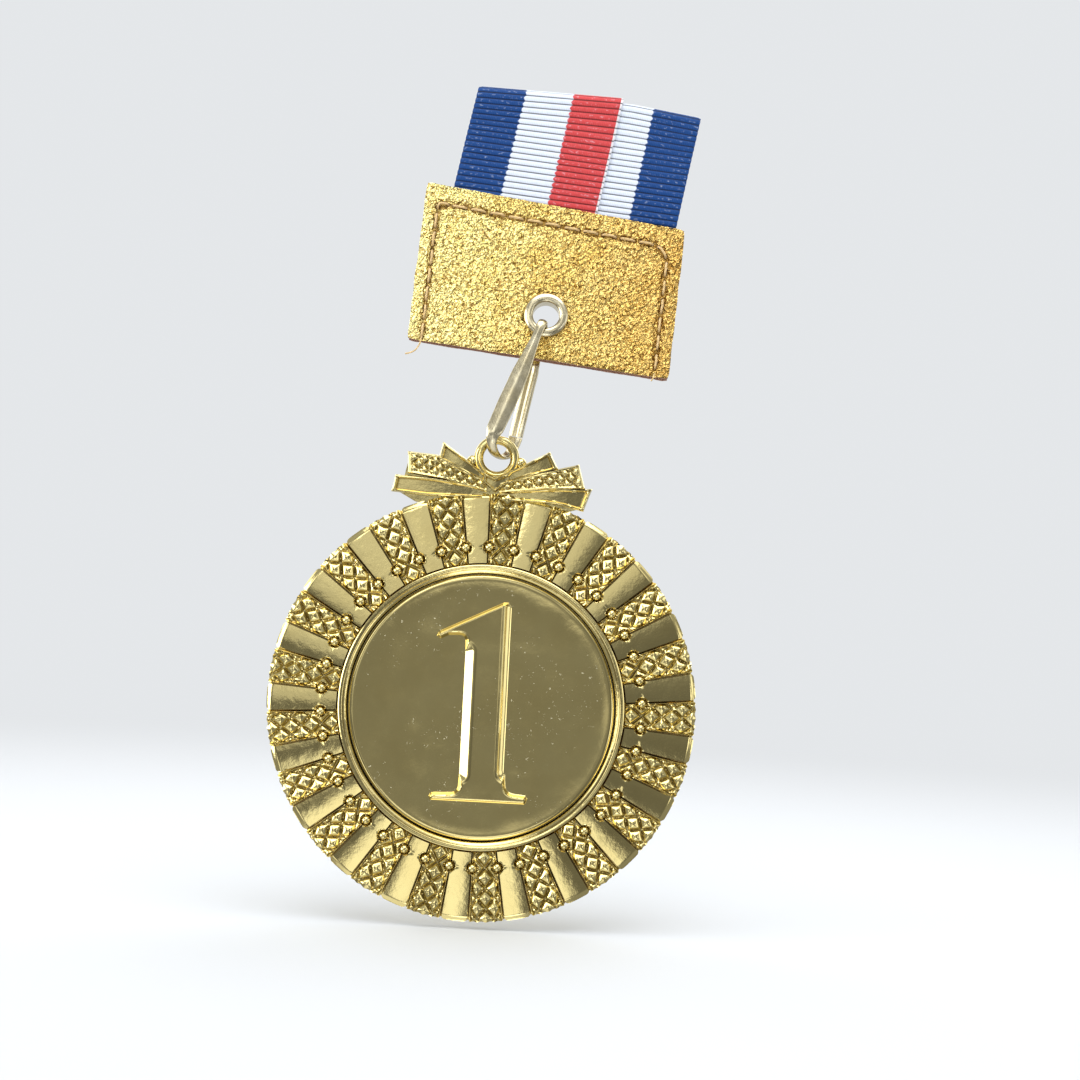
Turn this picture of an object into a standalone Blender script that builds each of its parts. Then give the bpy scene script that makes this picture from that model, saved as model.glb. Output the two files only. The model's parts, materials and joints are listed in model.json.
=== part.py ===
"""A first-place medal on its neck ribbon: a cast disc with a bow and a hanging loop, a polished
centre disc with a raised numeral, a folded metal hook, and a stitched leather patch that holds
both ends of a three-colour grosgrain ribbon, folded up behind it.

World frame: +X right, +Z up, and the front faces -Y. The origin is the centre of the disc's flat back.
Every piece is drawn in a front-view frame, an empty with x right, y up and z towards the front.
"""

import math

import bmesh
import bpy
from mathutils import Euler, Matrix, Vector

MM = 0.001
WELD = 0.000001
TAU = 2 * math.pi

# Medal casting. Heights are measured forward from the flat back.
DISC_R = 0.0325
BASE_TOP = 0.0019
BAR_TOP = 0.0029
WEDGE_TOP = 0.0032
SECTORS = 21
FIRST_WEDGE_ANGLE = math.radians(4.3)  # clockwise from the top, as all angles round the disc are
GROOVE = 0.0003
BORDER_INNER_R = 0.0221
BALL_RING_R = 0.0242
BALL_R = 0.0007
BALL_Z = 0.0028
RIM_R = 0.0224
RIM_TOP = 0.0036
RECESS_R = 0.0206
RECESS_FLOOR = 0.0019

# Hanging loop, cast on the bow. Its hole is where the hook swings.
LOOP_X = 0.0004
LOOP_Y = 0.03785
LOOP_MID_Z = 0.0017
LOOP_DEPTH = 0.0024
LOOP_OUTER_R = 0.0034
LOOP_HOLE_R = 0.00215
BEAD_R = 0.0009

# The bow's bands: outline corners in millimetres, and height. Three a side meet behind the loop.
BOW_BANDS = (
    ("bow_left_top", ((-7.8, 39.9), (-8.5, 37.1), (-1.0, 33.6), (-1.0, 35.6)), 0.0026),
    ("bow_left_textured", ((-13.1, 38.2), (-12.9, 34.9), (-1.0, 32.5), (-1.0, 34.5), (-8.6, 37.9)), 0.0032),
    ("bow_left_bottom", ((-14.8, 34.6), (-15.3, 32.0), (-11.5, 30.0), (-1.0, 30.6), (-1.0, 33.3)), 0.0029),
    ("bow_right_top", ((8.4, 39.2), (9.8, 36.6), (1.0, 33.4), (1.0, 35.6)), 0.0027),
    ("bow_right_textured", ((12.9, 37.5), (14.0, 33.8), (1.0, 32.4), (1.0, 34.2), (9.5, 36.6)), 0.0033),
    ("bow_right_bottom", ((15.1, 33.9), (13.9, 30.4), (11.5, 29.5), (1.0, 30.6), (1.0, 33.0)), 0.0028),
    ("bow_knot", ((-1.9, 35.8), (-2.0, 33.6), (0.3, 32.0), (2.6, 33.6), (2.5, 35.8)), 0.0031),
)

# Centre disc and its pad.
CENTRE_R = 0.0202
PAD_R = 0.0190
PAD_BACK = 0.0020
PAD_FRONT = 0.0022
CENTRE_BACK = 0.0023
CENTRE_EDGE = 0.0027
CENTRE_FACE = 0.0029
NUMERAL_TOP = 0.0037
NUMERAL_BEVEL = 0.0004

# Eyelet through the patch, and the frame of the patch round it.
EYELET_X = 0.0067
EYELET_HEIGHT = 0.0599
PATCH_ROLL = math.radians(-5)
PATCH_TILT = math.radians(-8)
EYELET_HOLE_R = 0.0020
BARREL_R = 0.00225
FLANGE_R = 0.00345
FLANGE_T = 0.0005
WASHER_R = 0.0034
WASHER_T = 0.0003
LIP_R = 0.0029

# Patch layers, measured forward from its middle plane.
CORE_HALF = 0.0005
LEATHER_T = 0.0006
LAYER_GAP = 0.00005
PATCH_TOP_LEFT = (-0.0209, 0.0181)
PATCH_TOP_RIGHT = (0.0193, 0.0162)
PATCH_BOTTOM_RIGHT = (0.01975, -0.0072)
PATCH_BOTTOM_LEFT = (-0.0204, -0.0065)
PATCH_CORNER_R = 0.0008
THREAD_R = 0.00015
STITCH_LEFT_INSET = 0.0021
STITCH_RIGHT_INSET = 0.0022
STITCH_TOP_INSET = 0.0030
STITCH_CORNER_R = 0.0025

# Neck ribbon: one strip, both of whose ends go up out of the patch, one behind the other.
RIBBON_W = 0.0223
RIBBON_T = 0.00035
RIBBON_PITCH = 0.0004
END_DEPTH = 0.0095
LEG_CLEARANCE = 0.0004
LEFT_LEG_X = -0.0168
LEFT_LEG_LEAN = math.radians(5.2)
RIGHT_LEG_X = -0.00445
RIGHT_LEG_LEAN = math.radians(4.8)
LEG_Z = 0.0002
FLEX_HEIGHT = 0.0005
FOLD_Y = 0.0340
STACK_BOTTOM_Y = 0.0052
STACK_FRONT_Z = 0.0018
STACK_PASSES = 11
STACK_PASS_PITCH = 0.00086
FOLD_SWEEP = math.radians(62)
BEND_STEPS = 5
SEAM_Y = 0.0090

# Hook: a flat strip bent into a long loop. u runs down it from its top bend.
HOOK_T = 0.0005
TOP_BEND_BELOW_EYELET = 0.0012
BOTTOM_BEND_ABOVE_LOOP = 0.0004
TOP_HALF_DEPTH = 0.0023
TOP_CORNER_R = 0.0012
BOTTOM_R = 0.0029
SKEW_AT_TOP = 0.04
SKEW_PER_METRE = 27.0
GATE_ROOT_U = 0.0069
GATE_TIP_U = 0.0172
HOOK_GAP = 0.0003
FRONT_WIDTHS = (
    (0.0, 0.00135), (0.003, 0.0014), (0.009, 0.0026), (0.014, 0.0028), (0.0178, 0.0024), (0.02, 0.0015),
)
REAR_WIDTHS = ((0.0, 0.00135), (0.003, 0.0014), (0.0075, 0.0022), (0.018, 0.0022), (0.02, 0.0015))

GOLD = (0.62, 0.50, 0.22)
NICKEL = (0.66, 0.62, 0.50)
LEATHER_GOLD = (0.68, 0.43, 0.12)
THREAD_TAN = (0.48, 0.31, 0.14)
BOARD_PINK = (0.36, 0.20, 0.15)
RIBBON_BLUE = (0.01, 0.03, 0.18)
RIBBON_RED = (0.60, 0.03, 0.05)
PAD_GREY = (0.10, 0.10, 0.11)


def clear_scene():
    for obj in list(bpy.data.objects):
        bpy.data.objects.remove(obj)


def new_collection(name, hidden=False):
    collection = bpy.data.collections.new(name)
    bpy.context.scene.collection.children.link(collection)
    collection.hide_render = hidden
    return collection


def new_material(name, colour, roughness, metallic):
    material = bpy.data.materials.new(name)
    material.use_nodes = True
    shader = material.node_tree.nodes["Principled BSDF"]
    shader.inputs["Base Color"].default_value = (*colour, 1)
    shader.inputs["Roughness"].default_value = roughness
    shader.inputs["Metallic"].default_value = metallic
    material.diffuse_color = (*colour, 1)
    return material


def new_frame(name, location, rotation, parent=None):
    """An empty that pieces are drawn in: x right, y up, z towards the front."""
    frame = bpy.data.objects.new(name, None)
    frame.empty_display_size = 0.005
    parts.objects.link(frame)
    frame.parent = parent
    frame.matrix_local = Matrix.LocRotScale(location, rotation, None)
    return frame


def add(obj, frame, material, location=(0, 0, 0)):
    """Put a finished piece in its frame with its material."""
    obj.parent = frame
    obj.location = location
    obj.data.materials.clear()
    obj.data.materials.append(material)
    return obj


def make_helper(obj):
    parts.objects.unlink(obj)
    cutters.objects.link(obj)
    obj.hide_render = True
    obj.display_type = "WIRE"
    return obj


def mesh_object(name, bm):
    mesh = bpy.data.meshes.new(name)
    bmesh.ops.recalc_face_normals(bm, faces=bm.faces)
    bm.to_mesh(mesh)
    bm.free()
    obj = bpy.data.objects.new(name, mesh)
    parts.objects.link(obj)
    return obj


def mesh_from_curve(curve_object):
    """The closed mesh of a curve, with its caps welded to its sides."""
    graph = bpy.context.evaluated_depsgraph_get()
    mesh = bpy.data.meshes.new_from_object(curve_object.evaluated_get(graph))
    name = curve_object.name
    bpy.data.objects.remove(curve_object)
    bm = bmesh.new()
    bm.from_mesh(mesh)
    bpy.data.meshes.remove(mesh)
    bmesh.ops.remove_doubles(bm, verts=bm.verts, dist=WELD)
    return mesh_object(name, bm)


def plate(name, outlines, low, high, bevel=0.0):
    """A flat piece from closed outlines in the xy plane, solid between two heights."""
    curve = bpy.data.curves.new(name, "CURVE")
    curve.dimensions = "2D"
    curve.fill_mode = "BOTH"
    curve.extrude = (high - low) / 2 - bevel
    curve.bevel_depth = bevel
    curve.bevel_resolution = 0
    curve.offset = -bevel
    for outline in outlines:
        spline = curve.splines.new("POLY")
        spline.points.add(len(outline) - 1)
        spline.use_cyclic_u = True
        for point, (x, y) in zip(spline.points, outline):
            point.co = (x, y, 0, 1)
    obj = bpy.data.objects.new(name, curve)
    parts.objects.link(obj)
    obj = mesh_from_curve(obj)
    obj.data.transform(Matrix.Translation((0, 0, (low + high) / 2)))
    return obj


def turned(name, profile, steps, closed):
    """A profile of (radius, height) points, turned about z. It runs down its outer side."""
    bm = bmesh.new()
    verts = [bm.verts.new((radius, 0, height)) for radius, height in profile]
    for a, b in zip(verts, verts[1:]):
        bm.edges.new((a, b))
    if closed:
        bm.edges.new((verts[-1], verts[0]))
    mesh = bpy.data.meshes.new(name)
    bm.to_mesh(mesh)
    bm.free()
    obj = bpy.data.objects.new(name, mesh)
    parts.objects.link(obj)
    screw = obj.modifiers.new("Turn", "SCREW")
    screw.axis = "Z"
    screw.steps = steps
    screw.render_steps = steps
    screw.use_merge_vertices = True
    screw.merge_threshold = 0.00001
    screw.use_smooth_shade = True
    return obj


def boolean(obj, operation, other=None, collection=None):
    modifier = obj.modifiers.new(operation.title(), "BOOLEAN")
    modifier.operation = operation
    if collection:
        modifier.operand_type = "COLLECTION"
        modifier.collection = collection
    else:
        modifier.object = other
    modifier.solver = "EXACT"


def shade(obj, degrees):
    obj.data.shade_smooth()
    obj.data.set_sharp_from_angle(angle=math.radians(degrees))


def polar(radius, clockwise, centre=(0.0, 0.0)):
    return (centre[0] + radius * math.sin(clockwise), centre[1] + radius * math.cos(clockwise))


def circle(radius, count, centre=(0.0, 0.0)):
    return [polar(radius, TAU * i / count, centre) for i in range(count)]


def arc(centre, radius, start, end, steps):
    """Points of an arc, with angles anticlockwise from +x."""
    angles = [start + (end - start) * i / steps for i in range(steps + 1)]
    return [(centre[0] + radius * math.cos(a), centre[1] + radius * math.sin(a)) for a in angles]


def between(a, b, t):
    return a + (b - a) * t


def piecewise(x, knots):
    """Straight-line interpolation through (x, value) knots."""
    for (x0, v0), (x1, v1) in zip(knots, knots[1:]):
        if x <= x1:
            return between(v0, v1, max(0.0, (x - x0) / (x1 - x0)))
    return knots[-1][1]


# ---------------------------------------------------------------- the medal


def border_sector(name, middle, top):
    """One raised bar or wedge of the border, with a groove left on each side."""
    half = TAU / (4 * SECTORS)
    outline = []
    outer = DISC_R - 0.0003
    for radius, side in ((BORDER_INNER_R, -1), (outer, -1), (outer, 1), (BORDER_INNER_R, 1)):
        inset = GROOVE / 2 / radius
        outline.append(polar(radius, middle + side * (half - inset)))
    return make_helper(plate(name, [outline], BASE_TOP - 0.0004, top))


def ball(name, centre, radius, height):
    bm = bmesh.new()
    bmesh.ops.create_uvsphere(bm, u_segments=6, v_segments=4, radius=radius)
    bmesh.ops.translate(bm, verts=bm.verts, vec=(*centre, height))
    return make_helper(mesh_object(name, bm))


def bow_band(name, corners, top):
    outline = [(x * MM, y * MM) for x, y in corners]
    return make_helper(plate(name, [outline], 0.0002, top))


def medal_casting():
    base = turned(
        "medal_casting",
        [
            (0, BASE_TOP),
            (RECESS_R, BASE_TOP),
            (RECESS_R, RIM_TOP - 0.0004),
            (RECESS_R + 0.0004, RIM_TOP),
            (RIM_R - 0.0004, RIM_TOP),
            (RIM_R, BASE_TOP),
            (DISC_R, BASE_TOP),
            (DISC_R, 0.0003),
            (DISC_R - 0.0003, 0),
            (0, 0),
        ],
        4 * SECTORS,
        closed=False,
    )
    pitch = TAU / SECTORS
    for i in range(SECTORS):
        wedge = FIRST_WEDGE_ANGLE + i * pitch
        border_sector(f"wedge_{i + 1}", wedge, WEDGE_TOP)
        border_sector(f"bar_{i + 1}", wedge + pitch / 2, BAR_TOP)
        for side in (-1, 1):
            centre = polar(BALL_RING_R, wedge + side * pitch / 4)
            ball(f"ball_{2 * i + (side > 0) + 1}", centre, BALL_R, BALL_Z)
    # The bow: three bands a side, meeting behind the loop. Corners in millimetres.
    for name, corners, top in BOW_BANDS:
        bow_band(name, corners, top)
    loop_centre = (LOOP_X, LOOP_Y)
    for side in (-1, 1):
        ball(f"loop_bead_{(side + 3) // 2}", (LOOP_X + side * 0.0037, LOOP_Y - 0.0008), BEAD_R, LOOP_MID_Z)
    low = LOOP_MID_Z - LOOP_DEPTH / 2
    high = LOOP_MID_Z + LOOP_DEPTH / 2
    chamfer = 0.0003
    loop = turned(
        "loop_blank",
        [
            (0, high),
            (LOOP_OUTER_R - chamfer, high),
            (LOOP_OUTER_R, high - chamfer),
            (LOOP_OUTER_R, low + chamfer),
            (LOOP_OUTER_R - chamfer, low),
            (0, low),
        ],
        24,
        closed=False,
    )
    loop.location = (*loop_centre, 0)
    make_helper(loop)
    through = [(0, 0.01), (LOOP_HOLE_R, 0.01), (LOOP_HOLE_R, -0.01), (0, -0.01)]
    hole = turned("loop_hole", through, 24, closed=False)
    hole.location = (*loop_centre, 0)
    make_helper(hole)
    relief = bpy.data.collections.new("casting_relief")
    cutters.children.link(relief)
    for helper in list(cutters.objects):
        if helper is not hole:
            cutters.objects.unlink(helper)
            relief.objects.link(helper)
        helper.parent = medal_frame
        helper.location = Vector(helper.location) - medal_pivot
    boolean(base, "UNION", collection=relief)
    boolean(base, "DIFFERENCE", other=hole)
    return base


def numeral_outline():
    """A serif figure 1, in millimetres from the disc's centre."""
    bracket = 3.2
    right_foot = arc((3.2 + bracket, -10.3), bracket, math.radians(180), math.radians(247), 5)
    left_foot = arc((-2.8 - bracket, -10.3), bracket, math.radians(-67), 0, 5)
    flag = arc((-4.9, 8.0), 2.6, 0, math.radians(80), 4)
    points = [(2.6, 16.0), (3.2, 15.4), *right_foot, (7.5, -13.2), (7.3, -14.2), (-7.0, -14.2)]
    points += [(-6.9, -13.4), *left_foot, (-2.3, 7.6), *flag[1:], (-6.5, 10.2), (-7.0, 10.9)]
    return [(x * MM, y * MM) for x, y in points]


def centre_disc():
    disc = turned(
        "centre_disc",
        [
            (0, CENTRE_FACE - 0.0001),
            (CENTRE_R * 0.8, CENTRE_FACE),
            (CENTRE_R, CENTRE_EDGE),
            (CENTRE_R, CENTRE_BACK),
            (0, CENTRE_BACK),
        ],
        72,
        closed=False,
    )
    numeral = plate("numeral_1", [numeral_outline()], CENTRE_BACK + 0.0002, NUMERAL_TOP, NUMERAL_BEVEL)
    add(make_helper(numeral), medal_frame, gold, -medal_pivot)
    boolean(disc, "UNION", other=numeral)
    return disc


# ---------------------------------------------------------------- the eyelet and the patch


def eyelet():
    front = CORE_HALF + LEATHER_T + LAYER_GAP
    back = front + WASHER_T + LAYER_GAP
    return turned(
        "eyelet",
        [
            (EYELET_HOLE_R, front),
            (EYELET_HOLE_R + 0.0003, front + FLANGE_T),
            (FLANGE_R - 0.0006, front + FLANGE_T),
            (FLANGE_R, front + 0.00015),
            (FLANGE_R, front),
            (BARREL_R, front),
            (BARREL_R, -back),
            (LIP_R, -back),
            (LIP_R, -back - 0.0001),
            (LIP_R - 0.0003, -back - 0.0004),
            (EYELET_HOLE_R + 0.0003, -back - 0.0004),
            (EYELET_HOLE_R, -back),
        ],
        28,
        closed=True,
    )


def eyelet_washer():
    front = -(CORE_HALF + LEATHER_T + LAYER_GAP)
    inner = BARREL_R + LAYER_GAP
    corners = [(WASHER_R, front), (WASHER_R, front - WASHER_T), (inner, front - WASHER_T), (inner, front)]
    return turned("eyelet_washer", corners, 28, closed=True)


def rounded(corners, radius, steps=2):
    """A polygon whose corners, given clockwise, are cut round."""
    points = []
    for i, corner in enumerate(corners):
        here = Vector(corner)
        before = (Vector(corners[i - 1]) - here).normalized()
        after = (Vector(corners[(i + 1) % len(corners)]) - here).normalized()
        for step in range(steps + 1):
            t = step / steps
            # A quadratic curve from one side, past the corner, to the other.
            points.append(tuple(here + before * radius * (1 - t) ** 2 + after * radius * t**2))
    return points


def patch_layer(name, low, high):
    corners = (PATCH_TOP_LEFT, PATCH_TOP_RIGHT, PATCH_BOTTOM_RIGHT, PATCH_BOTTOM_LEFT)
    return plate(name, [rounded(corners, PATCH_CORNER_R), circle(BARREL_R + LAYER_GAP, 24)], low, high)


def top_edge_y(x):
    """Height of the patch's sloping top edge."""
    return piecewise(x, (PATCH_TOP_LEFT, PATCH_TOP_RIGHT))


def stiffener():
    """The board that fills the patch below the ribbon's ends."""
    corners = [
        (PATCH_TOP_LEFT[0] + 0.0005, PATCH_TOP_LEFT[1] - END_DEPTH - 0.0008),
        (PATCH_TOP_RIGHT[0] - 0.0005, PATCH_TOP_RIGHT[1] - END_DEPTH - 0.0008),
        (PATCH_BOTTOM_RIGHT[0] - 0.0003, PATCH_BOTTOM_RIGHT[1] + 0.0002),
        (PATCH_BOTTOM_LEFT[0] + 0.0003, PATCH_BOTTOM_LEFT[1] + 0.0002),
    ]
    half = CORE_HALF - LAYER_GAP
    return plate("patch_stiffener", [corners, circle(BARREL_R + LAYER_GAP, 24)], -half, half)


def stitch_path():
    """The seam's course: up the left side, across under the top edge and down the right side."""
    left_low = Vector(PATCH_BOTTOM_LEFT) + Vector((STITCH_LEFT_INSET, 0.0001))
    left_high = Vector(PATCH_TOP_LEFT) + Vector((STITCH_LEFT_INSET, -STITCH_TOP_INSET))
    right_high = Vector(PATCH_TOP_RIGHT) + Vector((-STITCH_RIGHT_INSET, -STITCH_TOP_INSET))
    right_low = Vector(PATCH_BOTTOM_RIGHT) + Vector((-STITCH_RIGHT_INSET, 0.0001))
    turn = arc(
        (right_high.x - STITCH_CORNER_R, right_high.y - STITCH_CORNER_R),
        STITCH_CORNER_R, math.radians(88), 0, 5,
    )
    small = arc((left_high.x + 0.0008, left_high.y - 0.0008), 0.0008, math.pi, math.radians(92), 3)
    return [tuple(left_low), *small, *turn, tuple(right_low)]


def tube(name, points, radius):
    curve = bpy.data.curves.new(name, "CURVE")
    curve.dimensions = "3D"
    curve.bevel_depth = radius
    curve.bevel_resolution = 1
    curve.use_fill_caps = True
    spline = curve.splines.new("POLY")
    spline.points.add(len(points) - 1)
    for point, place in zip(spline.points, points):
        point.co = (*place, 1)
    obj = bpy.data.objects.new(name, curve)
    parts.objects.link(obj)
    return mesh_from_curve(obj)


def seam_thread(name, side, tails):
    """One thread of the seam, lying on the front (side 1) or back (side -1) leather."""
    surface = side * (CORE_HALF + LEATHER_T + THREAD_R + LAYER_GAP)
    path = [(x, y, surface) for x, y in stitch_path()]
    if tails:
        first, last = path[0], path[-1]
        left_tail = [
            (first[0] - 0.0012, first[1] - 0.0018, surface + 0.0001),
            (first[0] - 0.0005, first[1] - 0.0012, surface + 0.0002),
            (first[0] + 0.0000, first[1] - 0.0006, surface + 0.0002),
        ]
        path = left_tail + path + [(last[0] - 0.0001, last[1] - 0.0006, surface + 0.0001)]
    return tube(name, path, THREAD_R)


# ---------------------------------------------------------------- the ribbon


def end_foot_y(x):
    return top_edge_y(x) - END_DEPTH


def end_head_y(x):
    return top_edge_y(x) - LAYER_GAP


def leg_foot_y(x):
    return top_edge_y(x) + LEG_CLEARANCE


def leg_head_y(_):
    return FOLD_Y - LAYER_GAP


def leg_outline(left_x, lean, low, high):
    """A leaning strip of ribbon between two height functions of x."""
    across = RIBBON_W / math.cos(lean)
    corners = []
    for start, edge in ((left_x, low), (left_x, high), (left_x + across, high), (left_x + across, low)):
        y = edge(start)
        corners.append((start + math.tan(lean) * (y - top_edge_y(start)), y))
    return corners


def ribbon_layer_z(strand, layer):
    """Middle of one ribbon layer behind the patch. The strands change places at every bend."""
    first = "right" if layer % 2 == 0 else "left"
    return -(STACK_FRONT_Z + layer * STACK_PASS_PITCH + (0 if strand == first else RIBBON_PITCH))


def fold_course(strand):
    """Side view (y, z) of a strand: over the top fold, then back and forth behind the patch."""
    course = []
    before = LEG_Z if strand == "left" else -LEG_Z
    for layer in range(STACK_PASSES):
        z = ribbon_layer_z(strand, layer)
        radius = (before - z) / 2
        upward = 1 if layer % 2 == 0 else -1
        y = FOLD_Y if upward > 0 else STACK_BOTTOM_Y
        start = math.pi - FOLD_SWEEP if layer == 0 else 0
        for i in range(BEND_STEPS + 1):
            angle = between(start, math.pi, i / BEND_STEPS)
            course.append((y + upward * radius * math.sin(angle), z + radius * (1 + math.cos(angle))))
        before = z
    course.append((SEAM_Y, before))
    return course


def thick_line(course, thickness):
    """The closed outline of a line given a thickness, mitred where it turns."""
    points = [Vector(p) for p in course]
    steps = [(b - a).normalized() for a, b in zip(points, points[1:])]
    sides = ([], [])
    for i, point in enumerate(points):
        behind = steps[max(i - 1, 0)]
        ahead = steps[min(i, len(steps) - 1)]
        along = (ahead + behind).normalized()
        reach = thickness / 2 / along.dot(ahead)
        across = Vector((-along.y, along.x)) * reach
        sides[0].append(tuple(point + across))
        sides[1].append(tuple(point - across))
    return sides[0] + sides[1][::-1]


def ribbon_folds(name, strand):
    """A strand's folded length: its side view, extruded across the ribbon's width."""
    lean = LEFT_LEG_LEAN if strand == "left" else RIGHT_LEG_LEAN
    left_x = LEFT_LEG_X if strand == "left" else RIGHT_LEG_X
    slope = math.tan(lean)
    outline = thick_line(fold_course(strand), RIBBON_T)
    obj = plate(name, [outline], 0, RIBBON_W)
    # The outline's x and y are the frame's y and z, and its thickness runs along the frame's x.
    # Every pass leans with the leg, since the strand is folded square to its own edges.
    turn = Matrix((
        (slope, 0, 1, left_x - slope * top_edge_y(left_x)),
        (1, 0, 0, 0),
        (0, 1, 0, 0),
        (0, 0, 0, 1),
    ))
    obj.data.transform(turn)
    return obj


def neck_seam():
    """The thread that joins the two strands at the far end: a zigzag across the last pass."""
    layer = STACK_PASSES - 1
    last_z = min(ribbon_layer_z("left", layer), ribbon_layer_z("right", layer))
    z = last_z - RIBBON_T / 2 - THREAD_R - LAYER_GAP
    low_x = RIGHT_LEG_X + 0.0010
    high_x = LEFT_LEG_X + RIBBON_W - 0.0015
    count = 8
    points = []
    for i in range(count + 1):
        rise = 0.0016 if i % 2 else 0.0
        points.append((between(low_x, high_x, i / count), SEAM_Y + 0.0015 + rise, z))
    return tube("neck_seam_thread", points, THREAD_R)


# ---------------------------------------------------------------- the hook


def skew(u):
    """Sideways shift of the hook's loop for each unit of depth, growing down its length."""
    return SKEW_AT_TOP + SKEW_PER_METRE * u


def hook_point(u, depth):
    return Vector((-depth * skew(u), -u, depth))


def strip(name, course, width_at):
    """A flat strip along a course of (u, depth, width key) stations, square to the hook's loop."""
    centres = [hook_point(u, depth) for u, depth in course]
    bm = bmesh.new()
    rings = []
    for i, (centre, (u, depth)) in enumerate(zip(centres, course)):
        tangent = (centres[min(i + 1, len(centres) - 1)] - centres[max(i - 1, 0)]).normalized()
        wide = Vector((1, 0, skew(u)))
        wide = (wide - tangent * wide.dot(tangent)).normalized()
        thin = tangent.cross(wide)
        half_w = width_at(i, u, depth) / 2
        half_t = HOOK_T / 2
        signs = ((-1, -1), (1, -1), (1, 1), (-1, 1))
        rings.append([bm.verts.new(centre + wide * (a * half_w) + thin * (b * half_t)) for a, b in signs])
    for low, high in zip(rings, rings[1:]):
        for i in range(4):
            bm.faces.new((low[i], low[(i + 1) % 4], high[(i + 1) % 4], high[i]))
    bm.faces.new(rings[0][::-1])
    bm.faces.new(rings[-1])
    return mesh_object(name, bm)


def hook_body():
    """The hook's fixed length: behind the patch, through the eyelet, down the front, to the nose."""
    course = [(GATE_ROOT_U - HOOK_GAP, -TOP_HALF_DEPTH), (0.004, -TOP_HALF_DEPTH)]
    flat = TOP_HALF_DEPTH - TOP_CORNER_R
    for i in range(5):
        angle = math.pi / 2 * i / 4
        course.append((TOP_CORNER_R * (1 - math.sin(angle)), -flat - TOP_CORNER_R * math.cos(angle)))
    for i in range(5):
        angle = math.pi / 2 * i / 4
        course.append((TOP_CORNER_R * (1 - math.cos(angle)), flat + TOP_CORNER_R * math.sin(angle)))
    bend_u = hook_length - BOTTOM_R
    steps = 8
    for i in range(1, steps + 1):
        t = i / steps
        course.append((between(TOP_CORNER_R, bend_u, t), between(TOP_HALF_DEPTH, BOTTOM_R, t)))
    front_count = len(course)
    for i in range(1, 11):
        angle = math.pi * i / 10
        course.append((bend_u + BOTTOM_R * math.sin(angle), BOTTOM_R * math.cos(angle)))
    course.append((GATE_TIP_U + HOOK_GAP, -BOTTOM_R))

    def width_at(i, u, depth):
        return piecewise(u, FRONT_WIDTHS if depth > 0 and i < front_count + 5 else REAR_WIDTHS)

    return strip("hook_body", course, width_at)


def hook_gate():
    """The springy rear leg, from its root behind the patch to its tip at the nose."""
    steps = 6
    course = []
    for i in range(steps + 1):
        t = i / steps
        course.append((between(GATE_ROOT_U, GATE_TIP_U, t), between(-TOP_HALF_DEPTH, -BOTTOM_R, t)))
    return strip("hook_gate", course, lambda i, u, depth: piecewise(u, REAR_WIDTHS))


# ---------------------------------------------------------------- assembly

clear_scene()
parts = new_collection("medal")
cutters = new_collection("cutters", hidden=True)

gold = new_material("cast_gold", GOLD, 0.18, 1.0)
mirror_gold = new_material("polished_gold", GOLD, 0.06, 1.0)
nickel = new_material("nickel", NICKEL, 0.2, 1.0)
leather = new_material("gold_leather", LEATHER_GOLD, 0.35, 0.6)
tan = new_material("tan_thread", THREAD_TAN, 0.7, 0.0)
board = new_material("board", BOARD_PINK, 0.85, 0.0)
blue = new_material("ribbon_blue", RIBBON_BLUE, 0.7, 0.0)
red = new_material("ribbon_red", RIBBON_RED, 0.7, 0.0)
foam = new_material("pad", PAD_GREY, 0.9, 0.0)

front_view = Euler((math.radians(90), 0, 0)).to_matrix()
patch_turn = front_view @ Matrix.Rotation(PATCH_ROLL, 3, "Z") @ Matrix.Rotation(PATCH_TILT, 3, "X")
patch_normal = patch_turn @ Vector((0, 0, 1))
loop_world = Vector((LOOP_X, -LOOP_MID_Z, LOOP_Y))
# The patch's middle plane passes through the loop's centre, so the hook hangs along the patch.
eyelet_world = Vector((EYELET_X, 0, EYELET_HEIGHT))
eyelet_world.y = loop_world.y + (
    patch_normal.x * (loop_world.x - EYELET_X) + patch_normal.z * (loop_world.z - EYELET_HEIGHT)
) / patch_normal.y
down = (loop_world - eyelet_world).normalized()
hook_turn = Matrix(((-down).cross(patch_normal), -down, patch_normal)).transposed()
hook_length = (loop_world - eyelet_world).length - TOP_BEND_BELOW_EYELET - BOTTOM_BEND_ABOVE_LOOP

patch_frame = new_frame("patch_frame", eyelet_world, patch_turn.to_quaternion())
hook_frame = new_frame("hook_frame", eyelet_world, hook_turn.to_quaternion())
medal_frame = new_frame("medal_frame", loop_world, front_view.to_quaternion())
medal_pivot = Vector((LOOP_X, LOOP_Y, LOOP_MID_Z))
flex_y = between(PATCH_TOP_LEFT[1], PATCH_TOP_RIGHT[1], 0.5) + FLEX_HEIGHT
ribbon_frame = new_frame("ribbon_frame", Vector((0, flex_y, 0)), None, patch_frame)
fold_z = (LEG_Z + ribbon_layer_z("left", 0)) / 2
folds_frame = new_frame("folds_frame", Vector((0, FOLD_Y, fold_z)), None, patch_frame)
hook_drop = Vector((0, -TOP_BEND_BELOW_EYELET, 0))
gate_pivot = hook_point(GATE_ROOT_U, -TOP_HALF_DEPTH) + hook_drop
gate_frame = new_frame("gate_frame", gate_pivot, None, hook_frame)

add(medal_casting(), medal_frame, gold, -medal_pivot)
add(centre_disc(), medal_frame, mirror_gold, -medal_pivot)
pad_side = [(0, PAD_FRONT), (PAD_R, PAD_FRONT), (PAD_R, PAD_BACK), (0, PAD_BACK)]
add(turned("adhesive_pad", pad_side, 36, closed=False), medal_frame, foam, -medal_pivot)

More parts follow.
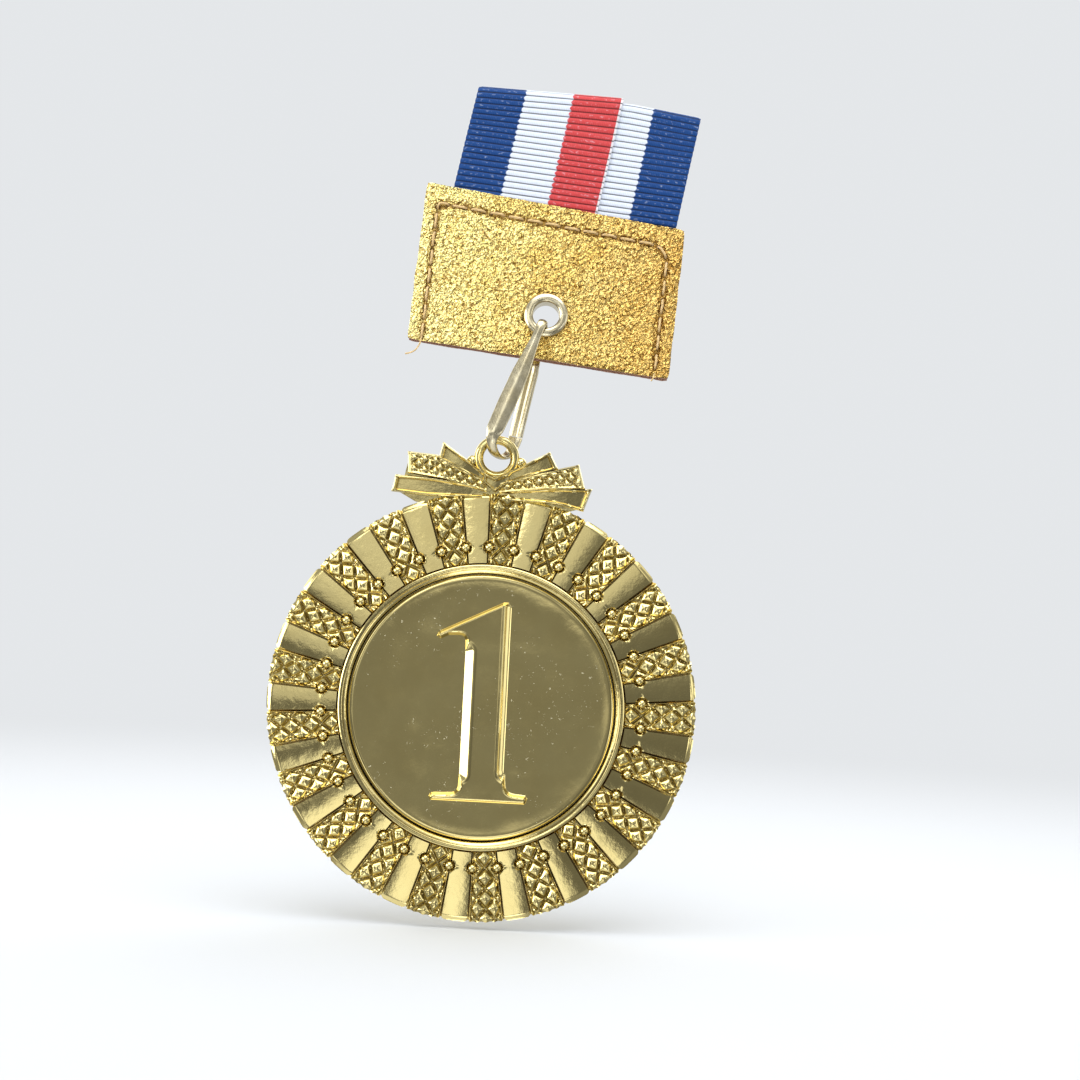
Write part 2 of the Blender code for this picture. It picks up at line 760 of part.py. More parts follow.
add(eyelet(), patch_frame, nickel)
add(eyelet_washer(), patch_frame, nickel)
add(patch_layer("patch_front_leather", CORE_HALF, CORE_HALF + LEATHER_T), patch_frame, leather)
add(patch_layer("patch_back_leather", -CORE_HALF - LEATHER_T, -CORE_HALF), patch_frame, leather)
add(stiffener(), patch_frame, board)
add(seam_thread("needle_thread", 1, tails=True), patch_frame, tan)
add(seam_thread("bobbin_thread", -1, tails=False), patch_frame, tan)

for strand, left_x, lean, z, colour in (
    ("left", LEFT_LEG_X, LEFT_LEG_LEAN, LEG_Z, blue),
    ("right", RIGHT_LEG_X, RIGHT_LEG_LEAN, -LEG_Z, red),
):
    back_z, front_z = z - RIBBON_T / 2, z + RIBBON_T / 2
    inner = leg_outline(left_x, lean, end_foot_y, end_head_y)
    add(plate(f"ribbon_{strand}_end", [inner], back_z, front_z), patch_frame, colour)
    outer = leg_outline(left_x, lean, leg_foot_y, leg_head_y)
    leg = plate(f"ribbon_{strand}_leg", [outer], back_z, front_z)
    add(leg, ribbon_frame, colour, (0, -flex_y, 0))
    add(ribbon_folds(f"ribbon_{strand}_folds", strand), folds_frame, colour, (0, -FOLD_Y, -fold_z))
add(neck_seam(), folds_frame, tan, (0, -FOLD_Y, -fold_z))

add(hook_body(), hook_frame, nickel, hook_drop)
add(hook_gate(), gate_frame, nickel, hook_drop - gate_pivot)

for piece in parts.objects:
    if piece.type == "MESH":
        shade(piece, 35)
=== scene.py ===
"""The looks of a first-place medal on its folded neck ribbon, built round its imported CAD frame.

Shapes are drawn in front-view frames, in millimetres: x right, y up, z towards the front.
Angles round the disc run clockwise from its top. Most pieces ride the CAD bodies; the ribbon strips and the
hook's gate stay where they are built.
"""

import json
from math import cos, pi, radians, sin, sqrt, tan

import bmesh
import bpy
import numpy as np
from mathutils import Matrix


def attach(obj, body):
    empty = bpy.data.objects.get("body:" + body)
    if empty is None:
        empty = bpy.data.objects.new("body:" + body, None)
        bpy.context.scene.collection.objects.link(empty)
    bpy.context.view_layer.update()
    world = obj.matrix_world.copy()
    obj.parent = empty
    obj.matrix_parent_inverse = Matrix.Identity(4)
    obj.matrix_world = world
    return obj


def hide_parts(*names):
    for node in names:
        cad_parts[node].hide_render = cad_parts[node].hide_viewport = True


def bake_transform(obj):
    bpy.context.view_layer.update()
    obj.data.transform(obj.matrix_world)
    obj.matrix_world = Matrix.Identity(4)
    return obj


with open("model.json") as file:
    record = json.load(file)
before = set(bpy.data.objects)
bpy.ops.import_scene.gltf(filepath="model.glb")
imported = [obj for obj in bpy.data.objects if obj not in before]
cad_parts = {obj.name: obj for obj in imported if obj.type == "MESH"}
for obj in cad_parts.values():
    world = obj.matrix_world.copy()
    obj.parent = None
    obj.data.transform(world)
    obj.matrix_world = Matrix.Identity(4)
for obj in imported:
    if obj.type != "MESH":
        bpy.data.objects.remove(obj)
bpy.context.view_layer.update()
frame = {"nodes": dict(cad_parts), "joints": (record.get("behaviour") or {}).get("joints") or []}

MM = 0.001
TAU = 2 * pi

# Disc border
SECTORS = 21
PITCH = TAU / SECTORS
FIRST_WEDGE = radians(4.3)
DISC_R = 32.5
BORDER_INNER_R = 21.9
DIAMOND_HALF_W = 1.33
DIAMOND_HALF_H = 1.55
DIAMOND_FIRST_R = 22.7
BALL_RING_R = 24.3
BALL_ANGLE = radians(4.4)
BALL_R = 0.68
SOCKET_R = 0.98
BAR_CONE = tan(radians(4.0))
BAR_TOP_Z = 3.22
WEDGE_Z = 2.46
DIAMOND_RISE = 0.72
RIDGE_Z = 3.14
GROOVE_Z = 2.3

# Centre disc and numeral
DISC_FACE_Z = 2.72
NUMERAL_BASE_Z = 2.36
NUMERAL_RISE = 0.78

# Bow
BOW_BACK_Z = 0.35
BAND_TILT = tan(radians(7))
STUD_PITCH = 1.66
LOOP_HALF_DEPTH = 1.2
BEAD_R = 0.85

# Eyelet and patch, measured from the eyelet's centre
CORE_HALF = 0.5
LEATHER_T = 0.6
PATCH_TL = (-20.9, 18.1)
PATCH_TR = (19.3, 16.2)
PATCH_BR = (19.75, -7.2)
PATCH_BL = (-20.4, -6.5)
STITCH_PITCH = 2.9
STITCH_LENGTH = 2.15
SEAM_STEP = 0.1
THREAD_R = 0.17
TAIL_R = 0.11
NECK_THREAD_R = 0.15
WASHER_T = 0.3

# Ribbon
RIBBON_W = 22.3
RIBBON_T = 0.35
RIBBON_PITCH = 0.4
RIB = 0.94
END_DEPTH = 9.5
LEG_SPLIT_Y = 24.0
FOLD_Y = 34.0
STACK_BOTTOM_Y = 5.2
STACK_FRONT_Z = 1.8
STACK_PASSES = 11
STACK_PASS_PITCH = 0.86
# Each strand's left edge at the patch's top edge, its lean and its height in the patch
STRANDS = {"left": (-16.8, radians(5.2), 0.2), "right": (-4.45, radians(4.8), -0.2)}
SEAM_Y = 9.0

# Hook; u runs down it from its top bend
HOOK_T = 0.5
TOP_BEND_BELOW_EYELET = 1.2
BOTTOM_BEND_ABOVE_LOOP = 0.4
TOP_HALF_DEPTH = 2.3
TOP_CORNER_R = 1.2
BOTTOM_R = 2.9
GATE_TOP_U = 3.6
GATE_ROOT_U = 6.9
GATE_TIP_U = 17.2
HOOK_GAP = 0.3


# ---- frames


def unit(vector):
    vector = np.asarray(vector, float)
    return vector / np.linalg.norm(vector)


def placed(origin, x, y, z):
    """Matrix from local millimetres to world metres."""
    matrix = np.eye(4)
    matrix[:3, :3] = np.stack([x, y, z], axis=1) * MM
    matrix[:3, 3] = origin
    return matrix


joints = {joint["name"]: joint for joint in frame["joints"]}
eyelet_place = np.array(joints["hook_swing"]["pos_m"])
loop_place = np.array(joints["medal_swing"]["pos_m"])
flex_axis = unit(joints["ribbon_flex"]["axis"])
patch_z = unit(joints["hook_swing"]["axis"])
patch_x = unit(joints["ribbon_unfold"]["axis"])
down = unit(loop_place - eyelet_place)

MEDAL = placed((0, 0, 0), (1, 0, 0), (0, 0, 1), (0, -1, 0))
PATCH = placed(eyelet_place, patch_x, np.cross(patch_z, patch_x), patch_z)
HOOK = placed(eyelet_place, np.cross(-down, patch_z), -down, patch_z)
LOOP = (loop_place[0] / MM, loop_place[2] / MM)
LOOP_MID_Z = -loop_place[1] / MM
hook_length = np.linalg.norm(loop_place - eyelet_place) / MM - TOP_BEND_BELOW_EYELET - BOTTOM_BEND_ABOVE_LOOP


# ---- mesh tools


def ease(x, low, high):
    """A smooth climb from 0 at low to 1 at high."""
    t = np.clip((x - low) / (high - low), 0, 1)
    return t * t * (3 - 2 * t)


def hump(x, width):
    """A bell of height 1 round x = 0."""
    return np.exp(-((x / width) ** 2))


def grid_quads(rows, columns, wrap=False, start=0):
    """Quads of a grid of vertices numbered row by row."""
    across = columns if wrap else columns - 1
    row, column = np.meshgrid(np.arange(rows - 1), np.arange(across), indexing="ij")
    after = (column + 1) % columns
    low, high = row * columns, (row + 1) * columns
    return np.stack([low + column, low + after, high + after, high + column], -1).reshape(-1, 4) + start


def lengths(line):
    """Distance along a line at each of its points."""
    return np.concatenate([[0], np.cumsum(np.linalg.norm(np.diff(line, axis=0), axis=1))])


def capped(rings, first, last):
    """A skin over a row of rings of points, closed by a fan to a point at each end."""
    rows, around = rings.shape[:2]
    verts = np.concatenate([rings.reshape(-1, 3), [first, last]])
    here = np.arange(around)
    ahead = (here + 1) % around
    end = (rows - 1) * around
    first_fan = np.stack([ahead, here, np.full(around, len(verts) - 2)], -1)
    last_fan = np.stack([end + here, end + ahead, np.full(around, len(verts) - 1)], -1)
    return verts, [grid_quads(rows, around, wrap=True), first_fan, last_fan]


def build(name, verts, faces, matrix, materials, sharp=40, attributes=None, face_material=None):
    """A mesh object from local millimetres. faces is a list of arrays of quads or triangles."""
    mesh = bpy.data.meshes.new(name)
    world = np.asarray(verts, float) @ matrix[:3, :3].T + matrix[:3, 3]
    mesh.from_pydata(world.tolist(), [], [face for block in faces for face in np.asarray(block).tolist()])
    for key, values in (attributes or {}).items():
        layer = mesh.attributes.new(key, "FLOAT", "POINT")
        layer.data.foreach_set("value", np.asarray(values, np.float32).ravel())
    for material in materials if isinstance(materials, (list, tuple)) else [materials]:
        mesh.materials.append(material)
    if face_material is not None:
        mesh.polygons.foreach_set("material_index", np.asarray(face_material, np.int32))
    bm = bmesh.new()
    bm.from_mesh(mesh)
    bmesh.ops.recalc_face_normals(bm, faces=bm.faces)
    bm.to_mesh(mesh)
    bm.free()
    mesh.shade_smooth()
    mesh.set_sharp_from_angle(angle=radians(sharp))
    obj = bpy.data.objects.new(name, mesh)
    bpy.context.scene.collection.objects.link(obj)
    return obj


def carry(obj, body, slot, *nodes):
    """Let a piece ride on its body and stand for CAD nodes. Its slot argument is not used."""
    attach(obj, body)
    if nodes:
        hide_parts(*nodes)


def relief(x, y, top, bottom, keep=True):
    """A closed slab over the kept cells of a grid: its top surface, its underside and the walls between."""
    rows, columns = x.shape
    count = rows * columns
    quads = grid_quads(rows, columns)[np.broadcast_to(keep, (rows - 1, columns - 1)).ravel()]
    edges = np.concatenate([quads[:, [k, (k + 1) % 4]] for k in range(4)])
    key = edges.min(axis=1) * count + edges.max(axis=1)
    _, index, times = np.unique(key, return_inverse=True, return_counts=True)
    rim = edges[times[index] == 1]
    walls = np.stack([rim[:, 1], rim[:, 0], rim[:, 0] + count, rim[:, 1] + count], -1)
    under = np.broadcast_to(bottom, x.shape)
    verts = np.concatenate([np.stack([x, y, z], -1).reshape(-1, 3) for z in (top, under)])
    faces = np.concatenate([quads, quads[:, ::-1] + count, walls])
    used, packed = np.unique(faces, return_inverse=True)
    return verts[used], packed.reshape(-1, 4), used, (len(quads), len(quads), len(walls))


def soften(points, reach, steps=3, closed=True):
    """A polygon or an open line whose corners are rounded by a curve that starts `reach` away from each."""
    points = np.asarray(points, float)
    count = len(points)
    out = []
    for i in range(count):
        here = points[i]
        if not closed and i in (0, count - 1):
            out.append(here)
            continue
        before, after = points[i - 1] - here, points[(i + 1) % count] - here
        near = min(reach, 0.45 * np.linalg.norm(before), 0.45 * np.linalg.norm(after))
        for k in range(steps + 1):
            t = k / steps
            out.append(here + unit(before) * near * (1 - t) ** 2 + unit(after) * near * t**2)
    return np.array(out)


def turned(profile, steps, centre=(0, 0, 0)):
    """A side view of (radius, height) points turned about z. It is a loop, or starts and ends on the axis."""
    profile = np.asarray(profile, float)
    angle = TAU * np.arange(steps) / steps
    poles = profile[0, 0] < 1e-6
    rings = profile[1:-1] if poles else profile
    radius, height = rings[:, :1], np.repeat(rings[:, 1:], steps, axis=1)
    points = np.stack([radius * np.sin(angle), radius * np.cos(angle), height], -1)
    if poles:
        verts, faces = capped(points, (0, 0, profile[0, 1]), (0, 0, profile[-1, 1]))
    else:
        here, last = np.arange(steps), (len(rings) - 1) * steps
        ahead = (here + 1) % steps
        verts = points.reshape(-1, 3)
        faces = [grid_quads(len(rings), steps, wrap=True)]
        faces.append(np.stack([last + here, last + ahead, ahead, here], -1))
    return verts + np.asarray(centre, float), faces


def transported(path):
    """Two sideways axes along a path, turned as little as possible."""
    tangent = np.gradient(path, axis=0)
    tangent /= np.linalg.norm(tangent, axis=1)[:, None]
    side = np.zeros_like(path)
    start = np.array([0, 0, 1.0]) if abs(tangent[0, 2]) < 0.9 else np.array([1.0, 0, 0])
    for i, along in enumerate(tangent):
        start = unit(start - along * (start @ along))
        side[i] = start
    return side, np.cross(tangent, side)


def tube(path, radius, sides=10, ply=0, turn=0.0):
    """A round or plied thread along a path, with its ends closed."""
    path = np.asarray(path, float)
    side, other = transported(path)
    length = lengths(path)
    phi = TAU * np.arange(sides) / sides
    swell = 1 + (0.2 * np.cos(ply * phi[None] + turn * length[:, None]) if ply else 0)
    size = np.broadcast_to(np.asarray(radius, float), len(path))[:, None] * swell
    out, up = (size * np.cos(phi))[..., None], (size * np.sin(phi))[..., None]
    return capped(path[:, None] + side[:, None] * out + other[:, None] * up, path[0], path[-1])


def joined(blocks):
    """Several (verts, faces) blocks as one."""
    verts, faces, start = [], [], 0
    for block_verts, block_faces in blocks:
        verts.append(block_verts)
        faces += [np.asarray(face) + start for face in block_faces]
        start += len(block_verts)
    return np.concatenate(verts), faces


def resampled(line, spacing=None, count=None):
    """A polyline's points at even distances along it."""
    line = np.asarray(line, float)
    length = lengths(line)
    count = count or max(2, int(round(length[-1] / spacing)) + 1)
    wanted = np.linspace(0, length[-1], count)
    return np.stack([np.interp(wanted, length, line[:, k]) for k in range(line.shape[1])], -1)


def segment_distance(x, y, a, b):
    """Distance from points to a segment."""
    ax, ay = a
    dx, dy = b[0] - ax, b[1] - ay
    t = np.clip(((x - ax) * dx + (y - ay) * dy) / (dx * dx + dy * dy), 0, 1)
    return np.hypot(x - ax - t * dx, y - ay - t * dy)


def inside(x, y, outline):
    """Which points lie inside a polygon."""
    result = np.zeros(np.shape(x), bool)
    for (x0, y0), (x1, y1) in zip(outline, np.roll(outline, -1, axis=0)):
        crosses = (y0 > y) != (y1 > y)
        if y1 != y0:
            result ^= crosses & (x < x0 + (y - y0) / (y1 - y0) * (x1 - x0))
    return result


def waves(x, y, wavelength, spread, count, seed):
    """A smooth random field of unit strength whose bumps are about one wavelength across."""
    own = np.random.default_rng(seed)
    total = np.zeros(np.shape(x))
    for _ in range(count):
        heading, phase = own.uniform(0, TAU, 2)
        size = TAU / (wavelength * own.uniform(1 - spread, 1 + spread))
        total += np.cos(size * (x * cos(heading) + y * sin(heading)) + phase)
    return total * sqrt(2 / count)


# ---- materials


class Nodes:
    """A node tree being built. Its methods add nodes and return their sockets."""

    def __init__(self, tree):
        self.tree = tree

    def put(self, socket, value):
        if isinstance(value, bpy.types.NodeSocket):
            self.tree.links.new(value, socket)
        elif isinstance(value, tuple) and len(value) == 3 and socket.type == "RGBA":
            socket.default_value = (*value, 1)
        else:
            socket.default_value = value

    def node(self, kind, inputs=None, **settings):
        made = self.tree.nodes.new(kind)
        for key, value in settings.items():
            setattr(made, key, value)
        for key, value in (inputs or {}).items():
            self.put(made.inputs[key], value)
        return made

    def math(self, operation, a, b=0.0):
        return self.node("ShaderNodeMath", {0: a, 1: b}, operation=operation).outputs[0]

    def times(self, a, b):
        return self.math("MULTIPLY", a, b)

    def plus(self, a, b):
        return self.math("ADD", a, b)

    def fit(self, value, low, high, to_low=0.0, to_high=1.0, smooth=False):
        kind = "SMOOTHSTEP" if smooth else "LINEAR"
        inputs = {"Value": value, "From Min": low, "From Max": high, "To Min": to_low, "To Max": to_high}
        return self.node("ShaderNodeMapRange", inputs, interpolation_type=kind).outputs[0]


class Look(Nodes):
    """A material being built, with its coordinates in millimetres."""

    def __init__(self, name):
        self.material = bpy.data.materials.new(name)
        self.material.use_nodes = True
        super().__init__(self.material.node_tree)
        self.shader = self.tree.nodes["Principled BSDF"]
        place = self.node("ShaderNodeTexCoord").outputs["Object"]
        self.mm = self.node("ShaderNodeVectorMath", {0: place, "Scale": 1 / MM}, operation="SCALE").outputs[0]

    def noise(self, scale, detail=2.0, rough=0.5, stretch=None):
        vector = self.mm
        if stretch:
            inputs = {0: vector, 1: stretch}
            vector = self.node("ShaderNodeVectorMath", inputs, operation="MULTIPLY").outputs[0]
        inputs = {"Vector": vector, "Scale": scale, "Detail": detail, "Roughness": rough}
        return self.node("ShaderNodeTexNoise", inputs).outputs["Fac"]

    def cells(self, scale):
        return self.node("ShaderNodeTexVoronoi", {"Vector": self.mm, "Scale": scale}).outputs["Distance"]

    def attribute(self, name):
        return self.node("ShaderNodeAttribute", attribute_name=name).outputs["Fac"]

    def mix(self, factor, a, b, blend="MIX"):
        made = self.node("ShaderNodeMix", data_type="RGBA", blend_type=blend)
        self.put(made.inputs["Factor"], factor)
        for socket, value in zip([s for s in made.inputs if s.type == "RGBA"], (a, b)):
            self.put(socket, value)
        return [s for s in made.outputs if s.type == "RGBA"][0]

    def bump(self, height, distance, after=None):
        inputs = {"Height": height, "Distance": distance * MM, "Strength": 1.0}
        if after is not None:
            inputs["Normal"] = after
        return self.node("ShaderNodeBump", inputs).outputs["Normal"]

    def pointiness(self):
        return self.node("ShaderNodeNewGeometry").outputs["Pointiness"]

    def set(self, **inputs):
        for key, value in inputs.items():
            self.put(self.shader.inputs[key.replace("_", " ")], value)
        return self.material


def gold_look(name, low_rough, high_rough, grain, nicks=0.0, sway=0.0):
    """Bright yellow plate: colour drift, painted shade in its creases, fine scratches, smudges, nicks with a
    painted glint and a slightly uneven surface.
    """
    look = Look(name)
    drift = look.fit(look.noise(0.16, 3), 0.35, 0.7)
    # Painted shade: the colour is darkened in creases and hollows, found by pointiness.
    creases = look.fit(look.pointiness(), 0.40, 0.5, 0.85, 0.0)
    colour = look.mix(look.times(drift, 0.25), (0.64, 0.535, 0.235), (0.50, 0.38, 0.13))
    colour = look.mix(creases, colour, (0.19, 0.115, 0.03))
    smudge = look.fit(look.noise(0.35, 4, 0.6), 0.4, 0.7)
    speckle = look.fit(look.noise(9.0, 2), 0.55, 0.75)
    rough = look.plus(look.fit(smudge, 0, 1, low_rough, high_rough), look.times(speckle, 0.05))
    if nicks:
        spot = look.fit(look.noise(1.7, 5, 0.75), 0.64, 0.67, 0.0, nicks)
        spot = look.times(spot, look.fit(look.noise(0.11, 1), 0.44, 0.50))
        # The nicks are real wear; their paler colour is a painted glint.
        colour = look.mix(spot, colour, (0.95, 0.88, 0.62))
        rough = look.plus(rough, look.times(spot, 0.4))
    scratch = look.noise(1.0, 3, 0.7, stretch=(14.0, 14.0, 1.2))
    fine = look.plus(look.times(scratch, 0.35), look.noise(5.0, 3))
    broad = look.bump(look.noise(0.13, 1), sway) if sway else None
    normal = look.bump(fine, 0.012 * grain, after=look.bump(look.noise(0.9, 2), 0.05 * grain, after=broad))
    return look.set(Base_Color=colour, Metallic=1.0, Roughness=rough, Normal=normal)


def nickel_look():
    """Pale champagne plate, drawn lengthways, with painted shade in its creases."""
    look = Look("champagne_nickel")
    colour = look.mix(look.fit(look.noise(0.4, 3), 0.3, 0.7), (0.64, 0.575, 0.40), (0.54, 0.465, 0.29))
    # Painted shade: the colour is darkened in creases, found by pointiness.
    colour = look.mix(look.fit(look.pointiness(), 0.42, 0.5, 0.6, 0.0), colour, (0.22, 0.17, 0.09))
    brushed = look.noise(1.0, 3, stretch=(18.0, 18.0, 1.5))
    rough = look.fit(look.noise(1.2, 3), 0.3, 0.7, 0.14, 0.27)
    return look.set(Base_Color=colour, Metallic=1.0, Roughness=rough, Normal=look.bump(brushed, 0.01))


def leather_look():
    """Foil-coated leather: tops left bright and creases darkened by painted shade, tiny wrinkles, rubbed
    spots, a painted sheen on the left side and painted shade on the right side.
    """
    look = Look("gold_foil_leather")
    crease = look.fit(look.attribute("grain"), 0.15, 0.75, 1.0, 0.0, smooth=True)
    drift = look.fit(look.noise(0.22, 3), 0.3, 0.7)
    across = look.node("ShaderNodeSeparateXYZ", {0: look.mm}).outputs[0]
    colour = look.mix(drift, (0.80, 0.66, 0.25), (0.66, 0.48, 0.13))
    # A painted sheen lightens the left side.
    colour = look.mix(look.fit(across, -16, 6, 0.6, 0.0), colour, (0.93, 0.84, 0.38))
    # Painted shade darkens the right side.
    colour = look.mix(look.fit(across, -2, 28, 0.0, 0.8), colour, (0.58, 0.35, 0.09))
    # Painted shade darkens the creases of the grain.
    colour = look.mix(look.times(crease, 0.8), colour, (0.33, 0.165, 0.02))
    worn = look.fit(look.noise(1.4, 4, 0.65), 0.60, 0.68)
    colour = look.mix(look.times(worn, 0.35), colour, (0.86, 0.66, 0.30))
    metal = look.math("SUBTRACT", 0.95, look.times(crease, 0.2))
    rough = look.plus(look.fit(look.noise(2.4, 3), 0.3, 0.7, 0.09, 0.17), look.times(crease, 0.15))
    pebbles = look.plus(look.noise(1.9, 1), look.times(look.cells(1.7), -0.35))
    normal = look.bump(look.noise(5.0, 3), 0.06, after=look.bump(pebbles, 0.85))
    return look.set(Base_Color=colour, Metallic=metal, Roughness=rough, Normal=normal)


def fibre_board_look(name, tint, deep, scale=1.0):
    """Pressed fibres, as on a cut leather edge, the stiffening board and the pad."""
    look = Look(name)
    fibres = look.noise(2.2 * scale, 5, 0.7, stretch=(1.0, 1.0, 3.5))
    colour = look.mix(look.fit(fibres, 0.35, 0.65), tint, deep)
    normal = look.bump(look.plus(fibres, look.noise(9.0 * scale, 3)), 0.12)
    return look.set(Base_Color=colour, Roughness=0.88, Normal=normal)


def thread_look():
    """Plied polyester thread with a faint sheen."""
    look = Look("tan_thread")
    fibres = look.noise(6.0, 4, 0.7)
    colour = look.mix(look.fit(fibres, 0.3, 0.7), (0.70, 0.50, 0.22), (0.50, 0.32, 0.12))
    look.set(Sheen_Weight=0.4, Sheen_Roughness=0.4)
    return look.set(Base_Color=colour, Roughness=0.6, Normal=look.bump(fibres, 0.05))


def ribbon_look():
    """Grosgrain in three colours. u runs across the ribbon and v along it, both in millimetres."""
    look = Look("grosgrain_ribbon")
    u, v = look.attribute("u"), look.attribute("v")
    look.mm = look.node("ShaderNodeCombineXYZ", {0: u, 1: v, 2: 0.0}).outputs[0]
    saw = look.math("ABSOLUTE", look.math("SINE", look.times(v, pi / RIB)))
    # The colours' edges step in and out with the ribs and wander a little.
    wander = look.times(look.plus(look.noise(1.3, 2), -0.5), 0.35)
    edge = look.plus(u, look.plus(look.times(look.plus(saw, -0.5), 0.30), wander))
    blue, white, red = (0.003, 0.044, 0.185), (0.64, 0.685, 0.77), (0.54, 0.052, 0.054)
    colour = look.mix(look.fit(edge, 7.33, 7.47), blue, white)
    colour = look.mix(look.fit(edge, 14.63, 14.77), colour, red)
    colour = look.mix(look.fit(u, 21.95, 22.05), colour, (0.70, 0.66, 0.68))
    warp = look.noise(1.0, 2, stretch=(9.0, 0.9, 1.0))
    threads = look.math("SINE", look.times(u, TAU / 0.27))
    # Painted shade darkens the valleys between the ribs.
    rib_valley_shade = look.fit(saw, 0.0, 0.6, 1.0, 0.0, smooth=True)
    # A painted glint: light specks on the rib tops.
    rib_top_glint = look.fit(look.noise(1.0, 2, stretch=(1.6, 2.6, 1.0)), 0.56, 0.74)
    rib_top_glint = look.times(rib_top_glint, look.fit(saw, 0.6, 1.0, 0.0, 0.36))
    colour = look.mix(rib_top_glint, colour, (0.62, 0.70, 0.80))
    colour = look.mix(look.times(rib_valley_shade, 0.86), colour, (0.0, 0.0, 0.0))
    colour = look.mix(look.fit(warp, 0.35, 0.7, 0.0, 0.22), colour, (0.55, 0.58, 0.66), "MULTIPLY")
    weave = look.plus(look.times(threads, 0.30), warp)
    return look.set(Base_Color=colour, Roughness=0.6, Specular_IOR_Level=0.22, Normal=look.bump(weave, 0.035))


cast_gold = gold_look("cast_gold_plate", 0.07, 0.14, 0.5)
bow_gold = gold_look("bow_gold_plate", 0.09, 0.18, 0.8)
mirror_gold = gold_look("polished_gold_plate", 0.05, 0.10, 0.12, nicks=0.8, sway=0.13)
back_gold = gold_look("satin_gold_plate", 0.20, 0.32, 2.2)
nickel = nickel_look()
foil_leather = leather_look()
raw_edge = fibre_board_look("raw_leather_edge", (0.42, 0.23, 0.15), (0.27, 0.13, 0.085))
board = fibre_board_look("pink_brown_board", (0.40, 0.24, 0.18), (0.30, 0.17, 0.13), 1.5)
foam = fibre_board_look("foam_tape", (0.12, 0.12, 0.13), (0.07, 0.07, 0.08), 2.0)
tan_thread = thread_look()
ribbon_cloth = ribbon_look()


# ---- the disc's border and rim


def diamonds(x, r):
    """Height, 0 to 1, of rounded diamonds in a staggered lattice."""
    p, q = x / DIAMOND_HALF_W, (r - DIAMOND_FIRST_R) / DIAMOND_HALF_H
    a, b = (p + q) / 2, (p - q) / 2
    column, row = np.round(a), np.round(b)
    edge = 1 - 2 * np.maximum(np.abs(a - column), np.abs(b - row))
    # Every diamond leans a little its own way.
    lean = np.sin(3.1 * column + 5.3 * row) * (a - column) + np.sin(4.7 * row + 1.9 * column) * (b - row)
    return 0.72 * (1 - (1 - edge) ** 3.2) + 0.28 * edge + 0.175 * lean * edge


def sector_angles():
    """Angles from a wedge's middle, in degrees, closer together where the relief is steep."""
    half = 180 / SECTORS
    side = np.concatenate([
        np.linspace(0, 3.9, 12), [4.06, 4.16, 4.28, 4.4, 4.5, 4.6, 4.7, 4.8, 4.88, 4.95, 5.02, 5.1],
        np.linspace(5.4, 6.9, 5), [7.6],
    ])
    return np.concatenate([-side[:0:-1], side, [half]])


def border_height(angle, r):
    """Height of the border: wedges of diamonds between thin ridges, and a flat bar between wedges."""
    turn = (angle - FIRST_WEDGE) / PITCH
    off = (turn - np.round(turn)) * PITCH
    degrees = np.degrees(np.abs(off))
    # Every bar leans a little its own way.
    bar = np.floor(turn).astype(int) % SECTORS
    tilts = np.random.default_rng(4).uniform(-1, 1, (2, SECTORS))
    slope_across = np.tan(np.radians(1.6 * tilts[0]))[bar]
    slope_out = BAR_CONE + np.tan(np.radians(0.9 * tilts[1]))[bar]
    across = (turn - np.floor(turn) - 0.5) * PITCH * r
    bar_top = BAR_TOP_Z - (r - BORDER_INNER_R) * slope_out + across * slope_across - 0.02 * across**2
    wedge = WEDGE_Z + DIAMOND_RISE * diamonds(off * r, r) - 0.012 * (r - BORDER_INNER_R)
    wedge = wedge + (2.62 - wedge) * ease(degrees, 3.75, 4.0)
    height = wedge + (RIDGE_Z - wedge) * ease(degrees, 4.08, 4.4)
    height = height + (GROOVE_Z - height) * ease(degrees, 4.5, 4.86)
    height = height + (bar_top - height) * ease(degrees, 4.94, 5.1)
    height = height - 0.28 * ease(r, 31.7, 32.5)
    # A ball in its socket at each side of the wedge, near the rim.
    apart = np.hypot((np.abs(off) - BALL_ANGLE) * BALL_RING_R, r - BALL_RING_R)
    height = height + (2.5 - height) * (1 - ease(apart, 0.75, SOCKET_R))
    dome = 2.72 + np.sqrt(np.clip(BALL_R**2 - apart**2, 0, None))
    return np.where(apart < BALL_R, np.maximum(height, dome), height)


def outer_radius(angle):
    """The disc's edge, notched beside each bar and scalloped along each wedge."""
    turn = (angle - FIRST_WEDGE) / PITCH
    degrees = np.degrees(np.abs(turn - np.round(turn)) * PITCH)
    notch = 0.32 * hump(degrees - 4.9, 0.5)
    scallop = 0.12 * (1 - ease(degrees, 3.8, 4.3)) * (0.5 - 0.5 * np.cos(TAU * degrees / 2.35))
    return DISC_R - notch - scallop


